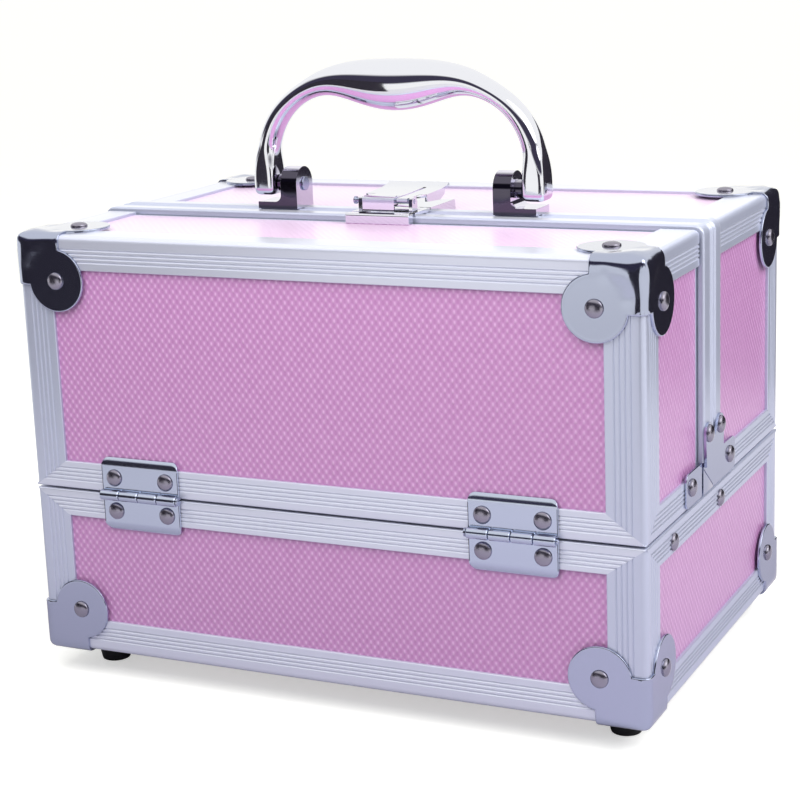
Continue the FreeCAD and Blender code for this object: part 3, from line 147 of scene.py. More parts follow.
def embossed_film_effect():
    """Rows of small staggered knobs pressed into a film, on the plane that the board faces.

    Height is the product of a squared cosine across, with its sign kept, and a cosine along. The
    colour runs from the valley colour to the ridge colour with the knob, with a noise tone added: a
    painted highlight on the knobs and painted shade between them."""
    group, start, end = effect_group(
        "EmbossedFilm",
        [("Place", "NodeSocketVector"), ("Facing", "NodeSocketVector"),
         ("Pitch Across", "NodeSocketFloat"), ("Pitch Along", "NodeSocketFloat"),
         ("Valley Colour", "NodeSocketColor"), ("Ridge Colour", "NodeSocketColor")],
        [("Colour", "NodeSocketColor"), ("Height", "NodeSocketFloat"),
         ("Roughness", "NodeSocketFloat")])
    place = group.nodes.new("ShaderNodeSeparateXYZ")
    facing = group.nodes.new("ShaderNodeSeparateXYZ")
    wire(group, start.outputs["Place"], place.inputs[0])
    wire(group, start.outputs["Facing"], facing.inputs[0])
    flank = math_node(group, "GREATER_THAN", math_node(group, "ABSOLUTE", facing.outputs[0]),
                      FACE_LIMIT)
    level = math_node(group, "GREATER_THAN", math_node(group, "ABSOLUTE", facing.outputs[2]),
                      FACE_LIMIT)
    across = mix_value(group, flank, place.outputs[0], place.outputs[1])
    along = mix_value(group, level, place.outputs[2], place.outputs[1])
    turn_u = math_node(group, "DIVIDE", math_node(group, "MULTIPLY", across, math.tau),
                       start.outputs["Pitch Across"])
    turn_v = math_node(group, "DIVIDE", math_node(group, "MULTIPLY", along, math.tau),
                       start.outputs["Pitch Along"])
    side = math_node(group, "COSINE", turn_u)
    slender = math_node(group, "MULTIPLY", side, math_node(group, "ABSOLUTE", side))
    wave = math_node(group, "MULTIPLY", slender, math_node(group, "COSINE", turn_v))
    share = math_node(group, "MULTIPLY_ADD", wave, KNOB_GAIN, KNOB_LEVEL)
    knob = math_node(group, "POWER", math_node(group, "MAXIMUM", share, 0.0), KNOB_POWER)
    grain = group.nodes.new("ShaderNodeTexNoise")
    grain.inputs["Scale"].default_value = WEAR_SCALE
    grain.inputs["Detail"].default_value = 3.0
    wire(group, start.outputs["Place"], grain.inputs["Vector"])
    worn = math_node(group, "MULTIPLY_ADD", grain.outputs["Fac"], WEAR_GAIN, WEAR_LEVEL)
    # Painted highlight and shade: the colour is lighter on the knob tops and darker in the valleys
    # between them.
    tint = math_node(group, "ADD", knob, worn)
    blend = group.nodes.new("ShaderNodeMix")
    blend.data_type = "RGBA"
    blend.clamp_factor = True
    wire(group, tint, blend.inputs["Factor"])
    wire(group, start.outputs["Valley Colour"], blend.inputs["A"])
    wire(group, start.outputs["Ridge Colour"], blend.inputs["B"])
    wire(group, blend.outputs["Result"], end.inputs["Colour"])
    wire(group, knob, end.inputs["Height"])
    wire(group, math_node(group, "MULTIPLY_ADD", knob, -KNOB_SHINE, FILM_ROUGH),
         end.inputs["Roughness"])
    return group


def within_one(tree, value):
    """A value held between nought and one."""
    return math_node(tree, "MINIMUM", math_node(tree, "MAXIMUM", value, 0.0), 1.0)


def mix_value(tree, share, low, high):
    """low where share is nought and high where it is one."""
    step = math_node(tree, "SUBTRACT", high, low)
    return math_node(tree, "MULTIPLY_ADD", share, step, low)


def drawn_metal_effect():
    """Fine lines drawn along a rail: noise stretched a hundredfold along one axis."""
    group, start, end = effect_group(
        "DrawnMetal",
        [("Place", "NodeSocketVector"), ("Stretch", "NodeSocketVector"),
         ("Shine", "NodeSocketFloat"), ("Spread", "NodeSocketFloat")],
        [("Roughness", "NodeSocketFloat")])
    scaled = group.nodes.new("ShaderNodeVectorMath")
    scaled.operation = "MULTIPLY"
    wire(group, start.outputs["Place"], scaled.inputs[0])
    wire(group, start.outputs["Stretch"], scaled.inputs[1])
    lines = group.nodes.new("ShaderNodeTexNoise")
    lines.inputs["Scale"].default_value = 1.0
    lines.inputs["Detail"].default_value = 4.0
    wire(group, scaled.outputs[0], lines.inputs["Vector"])
    centred = math_node(group, "SUBTRACT", lines.outputs["Fac"], 0.5)
    rough = math_node(group, "MULTIPLY_ADD", centred, start.outputs["Spread"], start.outputs["Shine"])
    wire(group, rough, end.inputs["Roughness"])
    return group


def fine_grain_effect():
    """Even grain, such as felt nap or moulded plastic: fine noise, as a height and a colour."""
    group, start, end = effect_group(
        "FineGrain",
        [("Place", "NodeSocketVector"), ("Size", "NodeSocketFloat"),
         ("Dark Colour", "NodeSocketColor"), ("Light Colour", "NodeSocketColor")],
        [("Colour", "NodeSocketColor"), ("Height", "NodeSocketFloat")])
    grain = group.nodes.new("ShaderNodeTexNoise")
    grain.inputs["Detail"].default_value = 6.0
    wire(group, start.outputs["Place"], grain.inputs["Vector"])
    wire(group, start.outputs["Size"], grain.inputs["Scale"])
    blend = group.nodes.new("ShaderNodeMix")
    blend.data_type = "RGBA"
    wire(group, grain.outputs["Fac"], blend.inputs["Factor"])
    wire(group, start.outputs["Dark Colour"], blend.inputs["A"])
    wire(group, start.outputs["Light Colour"], blend.inputs["B"])
    wire(group, blend.outputs["Result"], end.inputs["Colour"])
    wire(group, grain.outputs["Fac"], end.inputs["Height"])
    return group


EMBOSSED_FILM = embossed_film_effect()
DRAWN_METAL = drawn_metal_effect()
FINE_GRAIN = fine_grain_effect()


def new_finish(name, colour, metallic, roughness):
    """A material whose even values stand on its own shader's sockets."""
    finish = bpy.data.materials.new(name)
    finish.use_nodes = True
    shader = finish.node_tree.nodes["Principled BSDF"]
    shader.inputs["Base Color"].default_value = colour
    shader.inputs["Metallic"].default_value = metallic
    shader.inputs["Roughness"].default_value = roughness
    return finish, finish.node_tree, shader


def place_effect(tree, effect):
    """An effect group in a material, fed with the place on the piece."""
    node = tree.nodes.new("ShaderNodeGroup")
    node.node_tree = effect
    place = tree.nodes.new("ShaderNodeTexCoord")
    wire(tree, place.outputs["Object"], node.inputs["Place"])
    if "Facing" in node.inputs:
        wire(tree, place.outputs["Normal"], node.inputs["Facing"])
    return node


def raise_bumps(tree, shader, height, distance, strength):
    """A Bump node from a height, on the shader's normal."""
    bump = tree.nodes.new("ShaderNodeBump")
    bump.inputs["Distance"].default_value = distance
    bump.inputs["Strength"].default_value = strength
    wire(tree, height, bump.inputs["Height"])
    wire(tree, bump.outputs["Normal"], shader.inputs["Normal"])


def paint_sheen_at_low_angles(tree, shader, near, pale, start=0.76, full=0.88):
    """Paint a sheen into a surface's colour: it turns paler where it is seen almost edge on, between
    two shares of that.
    """
    facing = tree.nodes.new("ShaderNodeLayerWeight")
    facing.inputs["Blend"].default_value = 0.5
    share = math_node(tree, "SUBTRACT", facing.outputs["Facing"], start)
    share = within_one(tree, math_node(tree, "DIVIDE", share, full - start))
    tint = tree.nodes.new("ShaderNodeMix")
    tint.data_type = "RGBA"
    wire(tree, share, tint.inputs["Factor"])
    if isinstance(near, tuple):
        tint.inputs["A"].default_value = near
    else:
        wire(tree, near, tint.inputs["A"])
    tint.inputs["B"].default_value = pale
    wire(tree, tint.outputs["Result"], shader.inputs["Base Color"])


def pink_film():
    """Pink film with pressed knobs, on the boards."""
    finish, tree, shader = new_finish("pink_embossed_film", srgb(212, 158, 205), 0.0, 0.4)
    effect = place_effect(tree, EMBOSSED_FILM)
    effect.inputs["Pitch Across"].default_value = 0.0029
    effect.inputs["Pitch Along"].default_value = 0.0036
    # The valley colour carries painted shade and the ridge colour a painted highlight.
    effect.inputs["Valley Colour"].default_value = srgb(179, 121, 175)
    effect.inputs["Ridge Colour"].default_value = srgb(215, 169, 212)
    # Painted sheen: the film turns paler pink where it is seen almost edge on.
    paint_sheen_at_low_angles(tree, shader, effect.outputs["Colour"], srgb(236, 214, 237))
    wire(tree, effect.outputs["Roughness"], shader.inputs["Roughness"])
    raise_bumps(tree, shader, effect.outputs["Height"], 0.0003, 0.8)
    shader.inputs["Coat Weight"].default_value = 0.8
    shader.inputs["Coat Roughness"].default_value = 0.3
    return finish


def satin_aluminium(name, stretch, grey):
    """Anodised aluminium with fine drawn lines along the given axis."""
    finish, tree, shader = new_finish(name, grey, 0.5, 0.36)
    # Painted sheen: the grey turns paler where the rail is seen almost edge on.
    paint_sheen_at_low_angles(tree, shader, grey, srgb(228, 230, 240))
    effect = place_effect(tree, DRAWN_METAL)
    effect.inputs["Stretch"].default_value = stretch
    effect.inputs["Shine"].default_value = 0.30
    effect.inputs["Spread"].default_value = 0.05
    wire(tree, effect.outputs["Roughness"], shader.inputs["Roughness"])
    return finish


def bright_chrome(name, colour, roughness):
    """Polished chrome plate."""
    finish, tree, shader = new_finish(name, colour, 1.0, roughness)
    # Painted sheen: the plate turns paler where it is seen almost edge on.
    paint_sheen_at_low_angles(tree, shader, colour, srgb(240, 241, 248))
    return finish


def chrome_with_painted_reflection(name, colour, roughness):
    """Chrome over a casting, with its reflection painted in: deep grey where it faces the eye, and a
    painted sheen, bright, along its turned faces.
    """
    finish, tree, shader = new_finish(name, colour, 1.0, roughness)
    # Painted reflection: the deep grey turns pale along the faces seen edge on.
    paint_sheen_at_low_angles(tree, shader, colour, srgb(232, 229, 242), 0.36, 0.56)
    return finish


def grained(name, dark, light, roughness, size, distance):
    """A dull finish with an even grain: felt, rubber or moulded plastic."""
    finish, tree, shader = new_finish(name, light, 0.0, roughness)
    effect = place_effect(tree, FINE_GRAIN)
    effect.inputs["Size"].default_value = size
    effect.inputs["Dark Colour"].default_value = dark
    effect.inputs["Light Colour"].default_value = light
    wire(tree, effect.outputs["Colour"], shader.inputs["Base Color"])
    raise_bumps(tree, shader, effect.outputs["Height"], distance, 0.6)
    return finish


PINK = pink_film()
RAIL_GREY = srgb(194, 199, 219)
# The rails across get a paler grey than RAIL_GREY: painted light, standing for the brighter
# reflection of the light from above along their drawn lines.
RAIL_ACROSS = satin_aluminium("satin_aluminium_across", (12.0, 1500.0, 1500.0),
                              srgb(210, 213, 229))
RAIL_ALONG = satin_aluminium("satin_aluminium_along", (1500.0, 12.0, 1500.0), RAIL_GREY)
RAIL_UP = satin_aluminium("satin_aluminium_upright", (1500.0, 1500.0, 12.0), RAIL_GREY)
CHROME = bright_chrome("chrome_plate", srgb(182, 188, 210), 0.13)
BRACKET_CHROME = chrome_with_painted_reflection("chrome_casting", srgb(86, 82, 96), 0.08)
RIVET_STEEL = bright_chrome("rivet_steel", srgb(158, 154, 168), 0.27)
LEAF_STEEL = bright_chrome("bright_zinc_plate", srgb(194, 202, 222), 0.16)
GRIP_CHROME = bright_chrome("chrome_grip", srgb(238, 239, 246), 0.06)
ARM_STEEL = bright_chrome("arm_steel", srgb(180, 182, 188), 0.3)
MIRROR = bright_chrome("mirror_glass", srgb(232, 238, 240), 0.02)
FELT = grained("lining_felt", srgb(24, 22, 26), srgb(44, 40, 46), 0.95, 1600.0, 0.0003)
RUBBER = grained("foot_rubber", srgb(20, 20, 21), srgb(34, 34, 35), 0.75, 700.0, 0.0001)
TRAY_PLASTIC = grained("tray_plastic", srgb(28, 28, 31), srgb(40, 40, 44), 0.42, 900.0, 0.00006)


# ---------------------------------------------------------------- surfaces


def band(first, second):
    """A grid of two rows between two equal rings of points."""
    return np.stack([first, second])


def piece(name, node_names, finish, grids, sharp=32.0):
    """One object from parametric grids, standing for CAD nodes of one body.

    A grid is an array of rows of points; its last row and column are closed by merging doubles."""
    points = []
    faces = []
    offset = 0
    for grid in grids:
        rows, columns = grid.shape[:2]
        index = np.arange(rows * columns).reshape(rows, columns) + offset
        quads = np.stack([index[:-1, :-1], index[1:, :-1], index[1:, 1:], index[:-1, 1:]], axis=-1)
        faces.append(quads.reshape(-1, 4))
        points.append(grid.reshape(-1, 3))
        offset += rows * columns
    mesh = bpy.data.meshes.new(name)
    mesh.from_pydata(np.concatenate(points) * MM, [], np.concatenate(faces).tolist())
    shell = bmesh.new()
    shell.from_mesh(mesh)
    bmesh.ops.remove_doubles(shell, verts=shell.verts, dist=2e-6)
    bmesh.ops.dissolve_degenerate(shell, edges=shell.edges, dist=1e-7)
    bmesh.ops.recalc_face_normals(shell, faces=shell.faces)
    shell.to_mesh(mesh)
    shell.free()
    dress(bpy.data.objects.new(name, mesh), node_names, finish, sharp)


def dress(thing, node_names, finish, sharp):
    """Shade, paint and mount an object that stands for CAD nodes."""
    mesh = thing.data
    mesh.polygons.foreach_set("use_smooth", np.ones(len(mesh.polygons), bool))
    mesh.set_sharp_from_angle(angle=math.radians(sharp))
    mesh.materials.clear()
    mesh.materials.append(finish)
    bpy.context.scene.collection.objects.link(thing)
    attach(thing, body_of(frame["nodes"][node_names[0]])[0])
    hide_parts(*node_names)


def bevelled(node_name, finish, width):
    """A merged copy of a CAD node with its edges broken by a Bevel."""
    source = frame["nodes"][node_name]
    mesh = source.data.copy()
    shell = bmesh.new()
    shell.from_mesh(mesh)
    bmesh.ops.remove_doubles(shell, verts=shell.verts, dist=2e-6)
    bmesh.ops.dissolve_limit(shell, angle_limit=math.radians(1.0), verts=shell.verts,
                             edges=shell.edges)
    shell.to_mesh(mesh)
    shell.free()
    thing = bpy.data.objects.new(node_name + "_finished", mesh)
    dress(thing, [node_name], finish, 40.0)
    edge = thing.modifiers.new("BrokenEdges", "BEVEL")
    edge.width = width * MM
    edge.segments = 2
    edge.limit_method = "ANGLE"
    edge.angle_limit = math.radians(28.0)
    edge.harden_normals = True


def solids_of(node_name):
    """Lowest and highest corners of each separate solid of a CAD node, in millimetres."""
    shell = bmesh.new()
    shell.from_mesh(frame["nodes"][node_name].data)
    bmesh.ops.remove_doubles(shell, verts=shell.verts, dist=2e-6)
    shell.verts.ensure_lookup_table()
    left = set(range(len(shell.verts)))
    boxes = []
    while left:
        stack = [left.pop()]
        found = []
        while stack:
            number = stack.pop()
            found.append(number)
            for edge in shell.verts[number].link_edges:
                other = edge.other_vert(shell.verts[number]).index
                if other in left:
                    left.discard(other)
                    stack.append(other)
        places = np.array([shell.verts[number].co for number in found]) / MM
        boxes.append((places.min(axis=0), places.max(axis=0)))
    shell.free()
    return boxes


def mirrored(grids, axis):
    """The same grids on the other side of the middle plane across an axis."""
    turned = []
    for grid in grids:
        copy = grid.copy()
        copy[..., axis] *= -1
        turned.append(copy)
    return turned


def with_mirror(grids, axis):
    """The grids and the same grids across the middle plane."""
    return grids + mirrored(grids, axis)


def four_ways(grids):
    """The grids at one corner and the same grids at the other three."""
    return with_mirror(with_mirror(grids, 0), 1)


def turned_body(centre, axis, profile, count):
    """A profile of (distance along the axis, radius) turned round an axis through a centre."""
    axis = np.array(axis, float)
    helper = np.array([0.0, 0.0, 1.0]) if abs(axis[2]) < 0.9 else np.array([1.0, 0.0, 0.0])
    first = np.cross(axis, helper)
    first /= np.linalg.norm(first)
    second = np.cross(axis, first)
    angle = np.linspace(0.0, math.tau, count + 1)[None, :, None]
    along = np.array([p[0] for p in profile])[:, None, None]
    radius = np.array([p[1] for p in profile])[:, None, None]
    ring = np.cos(angle) * first + np.sin(angle) * second
    return np.array(centre, float) + along * axis + radius * ring


# ---------------------------------------------------------------- rails

GROOVE_HALF = 0.42
GROOVE_DEPTH = 0.35
RAIL_NICK = 0.25


def angle_profile(leg_u, leg_v, rows_u, rows_v, edge):
    """The closed section of an angle rail as (u, v): u in from the wall face, v from the edge.

    The outer edge is a quarter circle, and each groove a rounded V of five points."""
    def groove(place, on_u):
        steps = GROOVE_HALF * np.array([-1.0, -0.5, 0.0, 0.5, 1.0])
        deep = GROOVE_DEPTH * np.array([0.0, 0.7, 1.0, 0.7, 0.0])
        pair = (place + steps, deep)
        return np.stack(pair if on_u else pair[::-1], axis=-1)

    parts = [np.array([[leg_u - RAIL_NICK, 0.0], [leg_u, RAIL_NICK], [leg_u, PLATE],
                       [PLATE, PLATE], [PLATE, leg_v], [RAIL_NICK, leg_v],
                       [0.0, leg_v - RAIL_NICK]])]
    for place in sorted(rows_v, reverse=True):
        parts.append(groove(place, False)[::-1])
    turn = np.linspace(math.pi, 1.5 * math.pi, 9)
    parts.append(edge + edge * np.stack([np.cos(turn), np.sin(turn)], axis=-1))
    for place in sorted(rows_u):
        parts.append(groove(place, True))
    loop = np.concatenate(parts)
    return np.concatenate([loop, loop[:1]])


def rail_grids(loop, start, end, start_cut, end_cut, place):
    """A section carried along a straight path, its ends cut by mitres.

    A cut gives (slope in u, slope in v), and the end moves in by the larger of the two lengths;
    place turns (u, v, t) into a point."""
    u, v = loop[:, 0], loop[:, 1]
    low = start + np.maximum(u * start_cut[0], v * start_cut[1])
    high = end - np.maximum(u * end_cut[0], v * end_cut[1])
    shares = np.array([0.0, 0.02, 0.34, 0.66, 0.98, 1.0])[:, None]
    t = low + (high - low) * shares
    body = place(np.broadcast_to(u, t.shape), np.broadcast_to(v, t.shape), t)
    grids = [body]
    middle = np.array([[PLATE * 0.5, PLATE * 0.5]])
    for row, ends in ((0, low), (-1, high)):
        hub_t = np.full(len(u), ends[np.argmin(np.abs(loop - middle).sum(axis=1))])
        hub = place(np.full(len(u), middle[0, 0]), np.full(len(u), middle[0, 1]), hub_t)
        grids.append(band(body[row], hub))
    return grids


def place_front(level, sense):
    """A rail along the front: u to the back, v up or down from its level, t to the right."""
    return lambda u, v, t: np.stack([t, FRONT + u, level + v * sense], axis=-1)


def place_side(level, sense):
    """A rail along the right side: u to the left, v up or down, t to the back."""
    return lambda u, v, t: np.stack([SIDE - u, t, level + v * sense], axis=-1)


def place_post(u, v, t):
    """The right front post: u to the left, v to the back, t up."""
    return np.stack([SIDE - u, FRONT + v, t], axis=-1)


WIDE_ROWS = [5.0 + 1.5 * number for number in range(4)]
SLIM_ROWS = [3.2 + 1.5 * number for number in range(4)]
POST_ROWS = [5.0 + 1.9 * number for number in range(4)]
SQUARE = (0.0, 0.0)


def front_rail(level, sense, drop, reach, rows, edge=EDGE_ROUND):
    """A grooved angle rail across the front, mitred on the wall to the posts' width."""
    loop = angle_profile(reach, drop, [], rows, edge)
    cut = (1.0, POST / drop)
    return rail_grids(loop, -SIDE, SIDE, cut, cut, place_front(level, sense))


def side_rail(level, sense, drop, reach, rows, start, end, edge=EDGE_ROUND):
    """The same angle rail along both sides, square where it ends at the seam or the strip."""
    loop = angle_profile(reach, drop, [], rows, edge)
    cut = (1.0, POST / drop)
    grids = rail_grids(loop, start, end, cut if start == FRONT else SQUARE,
                       cut if end == REAR else SQUARE, place_side(level, sense))
    return with_mirror(grids, 0)


def post(low, high, low_rail, high_rail):
    """A grooved corner post, its ends mitred to the rails below and above it."""
    loop = angle_profile(POST, POST, POST_ROWS, POST_ROWS, EDGE_ROUND)
    low_cut = (low_rail / POST, low_rail / POST)
    high_cut = (high_rail / POST, high_rail / POST)
    return rail_grids(loop, low, high, low_cut, high_cut, place_post)


def make_rails():
    """Every grooved rail and post of the base and of the two lids."""
    wide = (TOP_DROP, TOP_REACH, WIDE_ROWS)
    floor_front = front_rail(BOTTOM, 1, *wide)
    rim_front = front_rail(BASE_TOP, -1, BASE_RAIL, LIP, SLIM_ROWS, RIM_ROUND)
    lid_edge = front_rail(TOP, -1, *wide)
    lid_rim = front_rail(LID_LOW, 1, LID_RAIL, LIP, SLIM_ROWS, RIM_ROUND)
    slim = (LIP, SLIM_ROWS)
    lid_post = with_mirror(post(LID_LOW, TOP, LID_RAIL, TOP_DROP), 0)
    rows = [
        ("base_bottom_rails_long", RAIL_ACROSS, with_mirror(floor_front, 1)),
        ("base_top_rails_long", RAIL_ACROSS, with_mirror(rim_front, 1)),
        ("front_lid_top_rail", RAIL_ACROSS, lid_edge),
        ("rear_lid_top_rail", RAIL_ACROSS, mirrored(lid_edge, 1)),
        ("front_lid_bottom_rail", RAIL_ACROSS, lid_rim),
        ("rear_lid_bottom_rail", RAIL_ACROSS, mirrored(lid_rim, 1)),
        ("base_bottom_rails_short", RAIL_ALONG, side_rail(BOTTOM, 1, *wide, FRONT, REAR)),
        ("base_top_rails_short", RAIL_ALONG,
         side_rail(BASE_TOP, -1, BASE_RAIL, *slim, FRONT, REAR, RIM_ROUND)),
        ("front_lid_side_top_rails", RAIL_ALONG, side_rail(TOP, -1, *wide, FRONT, SEAM)),
        ("rear_lid_side_top_rails", RAIL_ALONG, side_rail(TOP, -1, *wide, STRIP_REAR, REAR)),
        ("front_lid_side_bottom_rails", RAIL_ALONG,
         side_rail(LID_LOW, 1, LID_RAIL, *slim, FRONT, SEAM, RIM_ROUND)),
        ("rear_lid_side_bottom_rails", RAIL_ALONG,
         side_rail(LID_LOW, 1, LID_RAIL, *slim, STRIP_FRONT, REAR, RIM_ROUND)),
        ("base_corner_posts", RAIL_UP, four_ways(post(BOTTOM, BASE_TOP, TOP_DROP, BASE_RAIL))),
        ("front_lid_corner_posts", RAIL_UP, lid_post),
        ("rear_lid_corner_posts", RAIL_UP, mirrored(lid_post, 1)),
    ]
    for node_name, finish, grids in rows:
        piece(node_name + "_drawn", [node_name], finish, grids, sharp=24.0)


# ---------------------------------------------------------------- corner caps

CAP_PLATE = 1.0
CAP_HUB = 18.4
CAP_CENTRE = 16.5
CAP_RADIUS = 11.5
CAP_EDGE = 0.45
CAP_BEND = 2.2
CAP_DOME = 0.7
CAP_FOLD = 5.5
CAP_FOLD_DROP = 0.95
CAP_HOLLOW = 0.16
CAP_HOLLOW_WIDTH = 2.0
CAP_HOLLOW_PLACES = ((13.0, 5.0), (5.0, 13.0))


def cap_outline(inset):
    """The outline of one plate of a cap: a square hub joined to a round lobe.

    It runs from the end of one bend round the lobe to the end of the other bend, then back
    along the two bends, and is the farther of disc and square seen from the lobe's centre."""
    hub = CAP_HUB - inset
    radius = CAP_RADIUS - inset
    centre = np.array([CAP_CENTRE, CAP_CENTRE])
    step = hub - CAP_CENTRE
    meet = CAP_CENTRE - math.sqrt(radius ** 2 - step ** 2)
    climb = np.stack([np.full(5, hub), np.linspace(0.0, meet, 5)], axis=-1)
    first = math.atan2(meet - CAP_CENTRE, step)
    turn = np.linspace(first, math.pi / 2 - first, 41)
    lobe = centre + radius * np.stack([np.cos(turn), np.sin(turn)], axis=-1)
    descend = climb[::-1, ::-1]
    edge = np.linspace(hub, 0.0, 15)
    back = np.stack([np.zeros(15), edge], axis=-1)
    forth = back[::-1, ::-1]
    free = np.concatenate([climb, lobe[1:-1], descend])
    shared = np.concatenate([back[1:], forth[1:]])
    return free, shared


def smooth(value):
    """The smooth step from nought to one."""
    value = np.clip(value, 0.0, 1.0)
    return value * value * (3 - 2 * value)


def cap_relief(u, v, swollen):
    """Height of a cap plate over the rail: flat on the lobe, domed over the corner.

    The dome falls away towards both folded edges; its inner border is waved by two shallow
    hollows where the metal was drawn round the corner. A plain cap has almost none of it."""
    away = np.hypot(u - CAP_CENTRE, v - CAP_CENTRE)
    swell = CAP_DOME * smooth((away - 10.2) / 7.0)
    fold = np.maximum(1 - u / CAP_FOLD, 0.0) ** 1.3 + np.maximum(1 - v / CAP_FOLD, 0.0) ** 1.3
    relief = swell - CAP_FOLD_DROP * np.minimum(fold, 1.0) * smooth((away - 9.5) / 4.0)
    for place_u, place_v in CAP_HOLLOW_PLACES:
        span = ((u - place_u) ** 2 + (v - place_v) ** 2) / CAP_HOLLOW_WIDTH ** 2
        relief = relief - CAP_HOLLOW * np.exp(-span)
    return CAP_PLATE + relief * swollen


def wrap_corner(u, v, height, face):
    """A point of one of the cap's three plates, bent round the corner's rounded edges.

    The point on the sharp corner is pushed from the nearest point of a smaller corner that
    lies one bend radius inside, by that radius and its height. The result holds the distances
    in from the three outer faces, in the order X, Y, Z."""
    flat = np.zeros_like(u)
    sharp = [(u, flat, v), (flat, u, v), (u, v, flat)][face]
    sharp = np.stack(sharp, axis=-1)
    nearest = np.maximum(sharp, CAP_BEND)
    way = sharp - nearest
    way /= np.linalg.norm(way, axis=-1, keepdims=True)
    return nearest + way * (CAP_BEND + height)[..., None]


def cap_grids(level, sense, swollen):
    """The right front cap: three lobed plates with rolled rims, closed behind."""
    free, shared = cap_outline(0.0)
    free_in, shared_in = cap_outline(CAP_EDGE)
    inner = np.concatenate([free_in, shared_in])
    outer = np.concatenate([free, shared])
    shares = np.linspace(0.0, 1.0, 17)[:, None, None]
    centre = np.array([CAP_CENTRE, CAP_CENTRE])
    grids = []
    for face in range(3):
        disc = centre + (inner - centre) * shares
        u, v = disc[..., 0], disc[..., 1]
        grids.append(wrap_corner(u, v, cap_relief(u, v, swollen), face))
        roll = np.linspace(0.0, math.pi / 2, 5)[:, None]
        rim = free_in + (free - free_in) * np.sin(roll)[..., None]
        height = cap_relief(rim[..., 0], rim[..., 1], swollen) - CAP_EDGE * (1 - np.cos(roll))
        grids.append(wrap_corner(rim[..., 0], rim[..., 1], height, face))
        wall = wrap_corner(free[:, 0], free[:, 1], height[-1], face)
        foot = wrap_corner(free[:, 0], free[:, 1], np.zeros(len(free)), face)
        grids.append(band(wall, foot))
        back = centre + (outer - centre) * np.linspace(0.0, 1.0, 6)[:, None, None]
        grids.append(wrap_corner(back[..., 0], back[..., 1], np.zeros(back.shape[:2]), face))
    placed = []
    for grid in grids:
        x = SIDE - grid[..., 0]
        y = FRONT + grid[..., 1]
        z = level + sense * grid[..., 2]
        placed.append(np.stack([x, y, z], axis=-1))
    return placed


def make_caps():
    """The eight pressed steel corner caps."""
    crown = with_mirror(cap_grids(TOP, -1, 1.0), 0)
    for node_name, grids in (("front_lid_corner_caps", crown),
                             ("rear_lid_corner_caps", mirrored(crown, 1)),
                             ("base_corner_caps", four_ways(cap_grids(BOTTOM, 1, 0.12)))):
        piece(node_name + "_pressed", [node_name], CHROME, grids, sharp=50.0)


# ---------------------------------------------------------------- rivets and feet

RIVET_RADIUS = 3.2
RIVET_RISE = 1.55
COLLAR_RADIUS = 2.6
SHANK_RADIUS = 1.6
FOOT_TAPER = 1.6


def dome(centre, axis, radius, rise):
    """A rivet head: a flattened half ball, radius times cosine out and rise times sine up."""
    profile = [(0.0, 0.0), (0.0, radius)]
    for angle in np.linspace(0.0, math.pi / 2, 9)[:-1]:
        profile.append((rise * (0.12 + 0.88 * math.sin(angle)), radius * math.cos(angle) ** 0.9))
    profile.append((rise, 0.0))
    return turned_body(centre, axis, profile, 28)


def head_of(low, high):
    """Where a rivet head stands and which way it points, from the box of its solid."""
    size = high - low
    thin = int(np.argmin(size))
    middle = (low + high) / 2
    axis = np.zeros(3)
    outward = middle[thin] - (0.0, 0.0, MID_HEIGHT)[thin]
    axis[thin] = 1.0 if outward > 0 else -1.0
    middle[thin] = low[thin] if axis[thin] > 0 else high[thin]
    return middle, axis


def make_rivets():
    """Domed heads on every plate rivet, where the solids' heads stand."""
    for node_name in ("base_rivets", "front_lid_rivets", "rear_lid_rivets"):
        grids = []
        for low, high in solids_of(node_name):
            centre, axis = head_of(low, high)
            grids.append(dome(centre, axis, RIVET_RADIUS, RIVET_RISE))
        piece(node_name + "_domed", [node_name], RIVET_STEEL, grids, sharp=60.0)


def make_arm_rivets():
    """The rivets that carry the arms: shank, two collars and a domed head outside."""
    grids = []
    for low, high in solids_of("base_arm_rivets"):
        side = 1.0 if low[0] > 0 else -1.0
        middle = (low + high) / 2
        middle[0] = 0.0
        inner_end = min(abs(low[0]), abs(high[0]))
        arm_low = ARM_INNER - 0.05
        arm_high = ARM_OUTER + 0.05
        wall_radius = SHANK_RADIUS - 0.05
        profile = [(inner_end, 0.0), (inner_end, COLLAR_RADIUS - 0.4),
                   (inner_end + 0.3, COLLAR_RADIUS), (arm_low, COLLAR_RADIUS),
                   (arm_low, SHANK_RADIUS), (arm_high, SHANK_RADIUS), (arm_high, COLLAR_RADIUS),
                   (INNER_SIDE, COLLAR_RADIUS), (INNER_SIDE, wall_radius), (SIDE, wall_radius),
                   (SIDE, RIVET_RADIUS)]
        for angle in np.linspace(0.0, math.pi / 2, 9)[:-1]:
            profile.append((SIDE + 0.2 + (RIVET_RISE - 0.2) * math.sin(angle),
                            RIVET_RADIUS * math.cos(angle) ** 0.9))
        profile.append((SIDE + RIVET_RISE, 0.0))
        grids.append(turned_body(middle, (side, 0, 0), profile, 28))
    piece("base_arm_rivets_domed", ["base_arm_rivets"], RIVET_STEEL, grids,
          sharp=60.0)


def make_feet():
    """Rubber feet: a tapered plug with rolled edges, turned round an upright axis."""
    grids = []
    for low, high in solids_of("rubber_feet"):
        middle = (low + high) / 2
        top_radius = (high[0] - low[0]) / 2
        end_radius = top_radius - FOOT_TAPER
        rise = high[2]
        profile = [(0.0, 0.0), (0.0, end_radius - 0.8), (0.25, end_radius - 0.25),
                   (0.9, end_radius), (rise - 1.0, top_radius - 0.1),
                   (rise - 0.3, top_radius), (rise, top_radius - 0.1), (rise, 0.0)]
        grids.append(turned_body((middle[0], middle[1], 0.0), (0, 0, 1), profile, 40))
    piece("rubber_feet_moulded", ["rubber_feet"], RUBBER, grids, sharp=50.0)


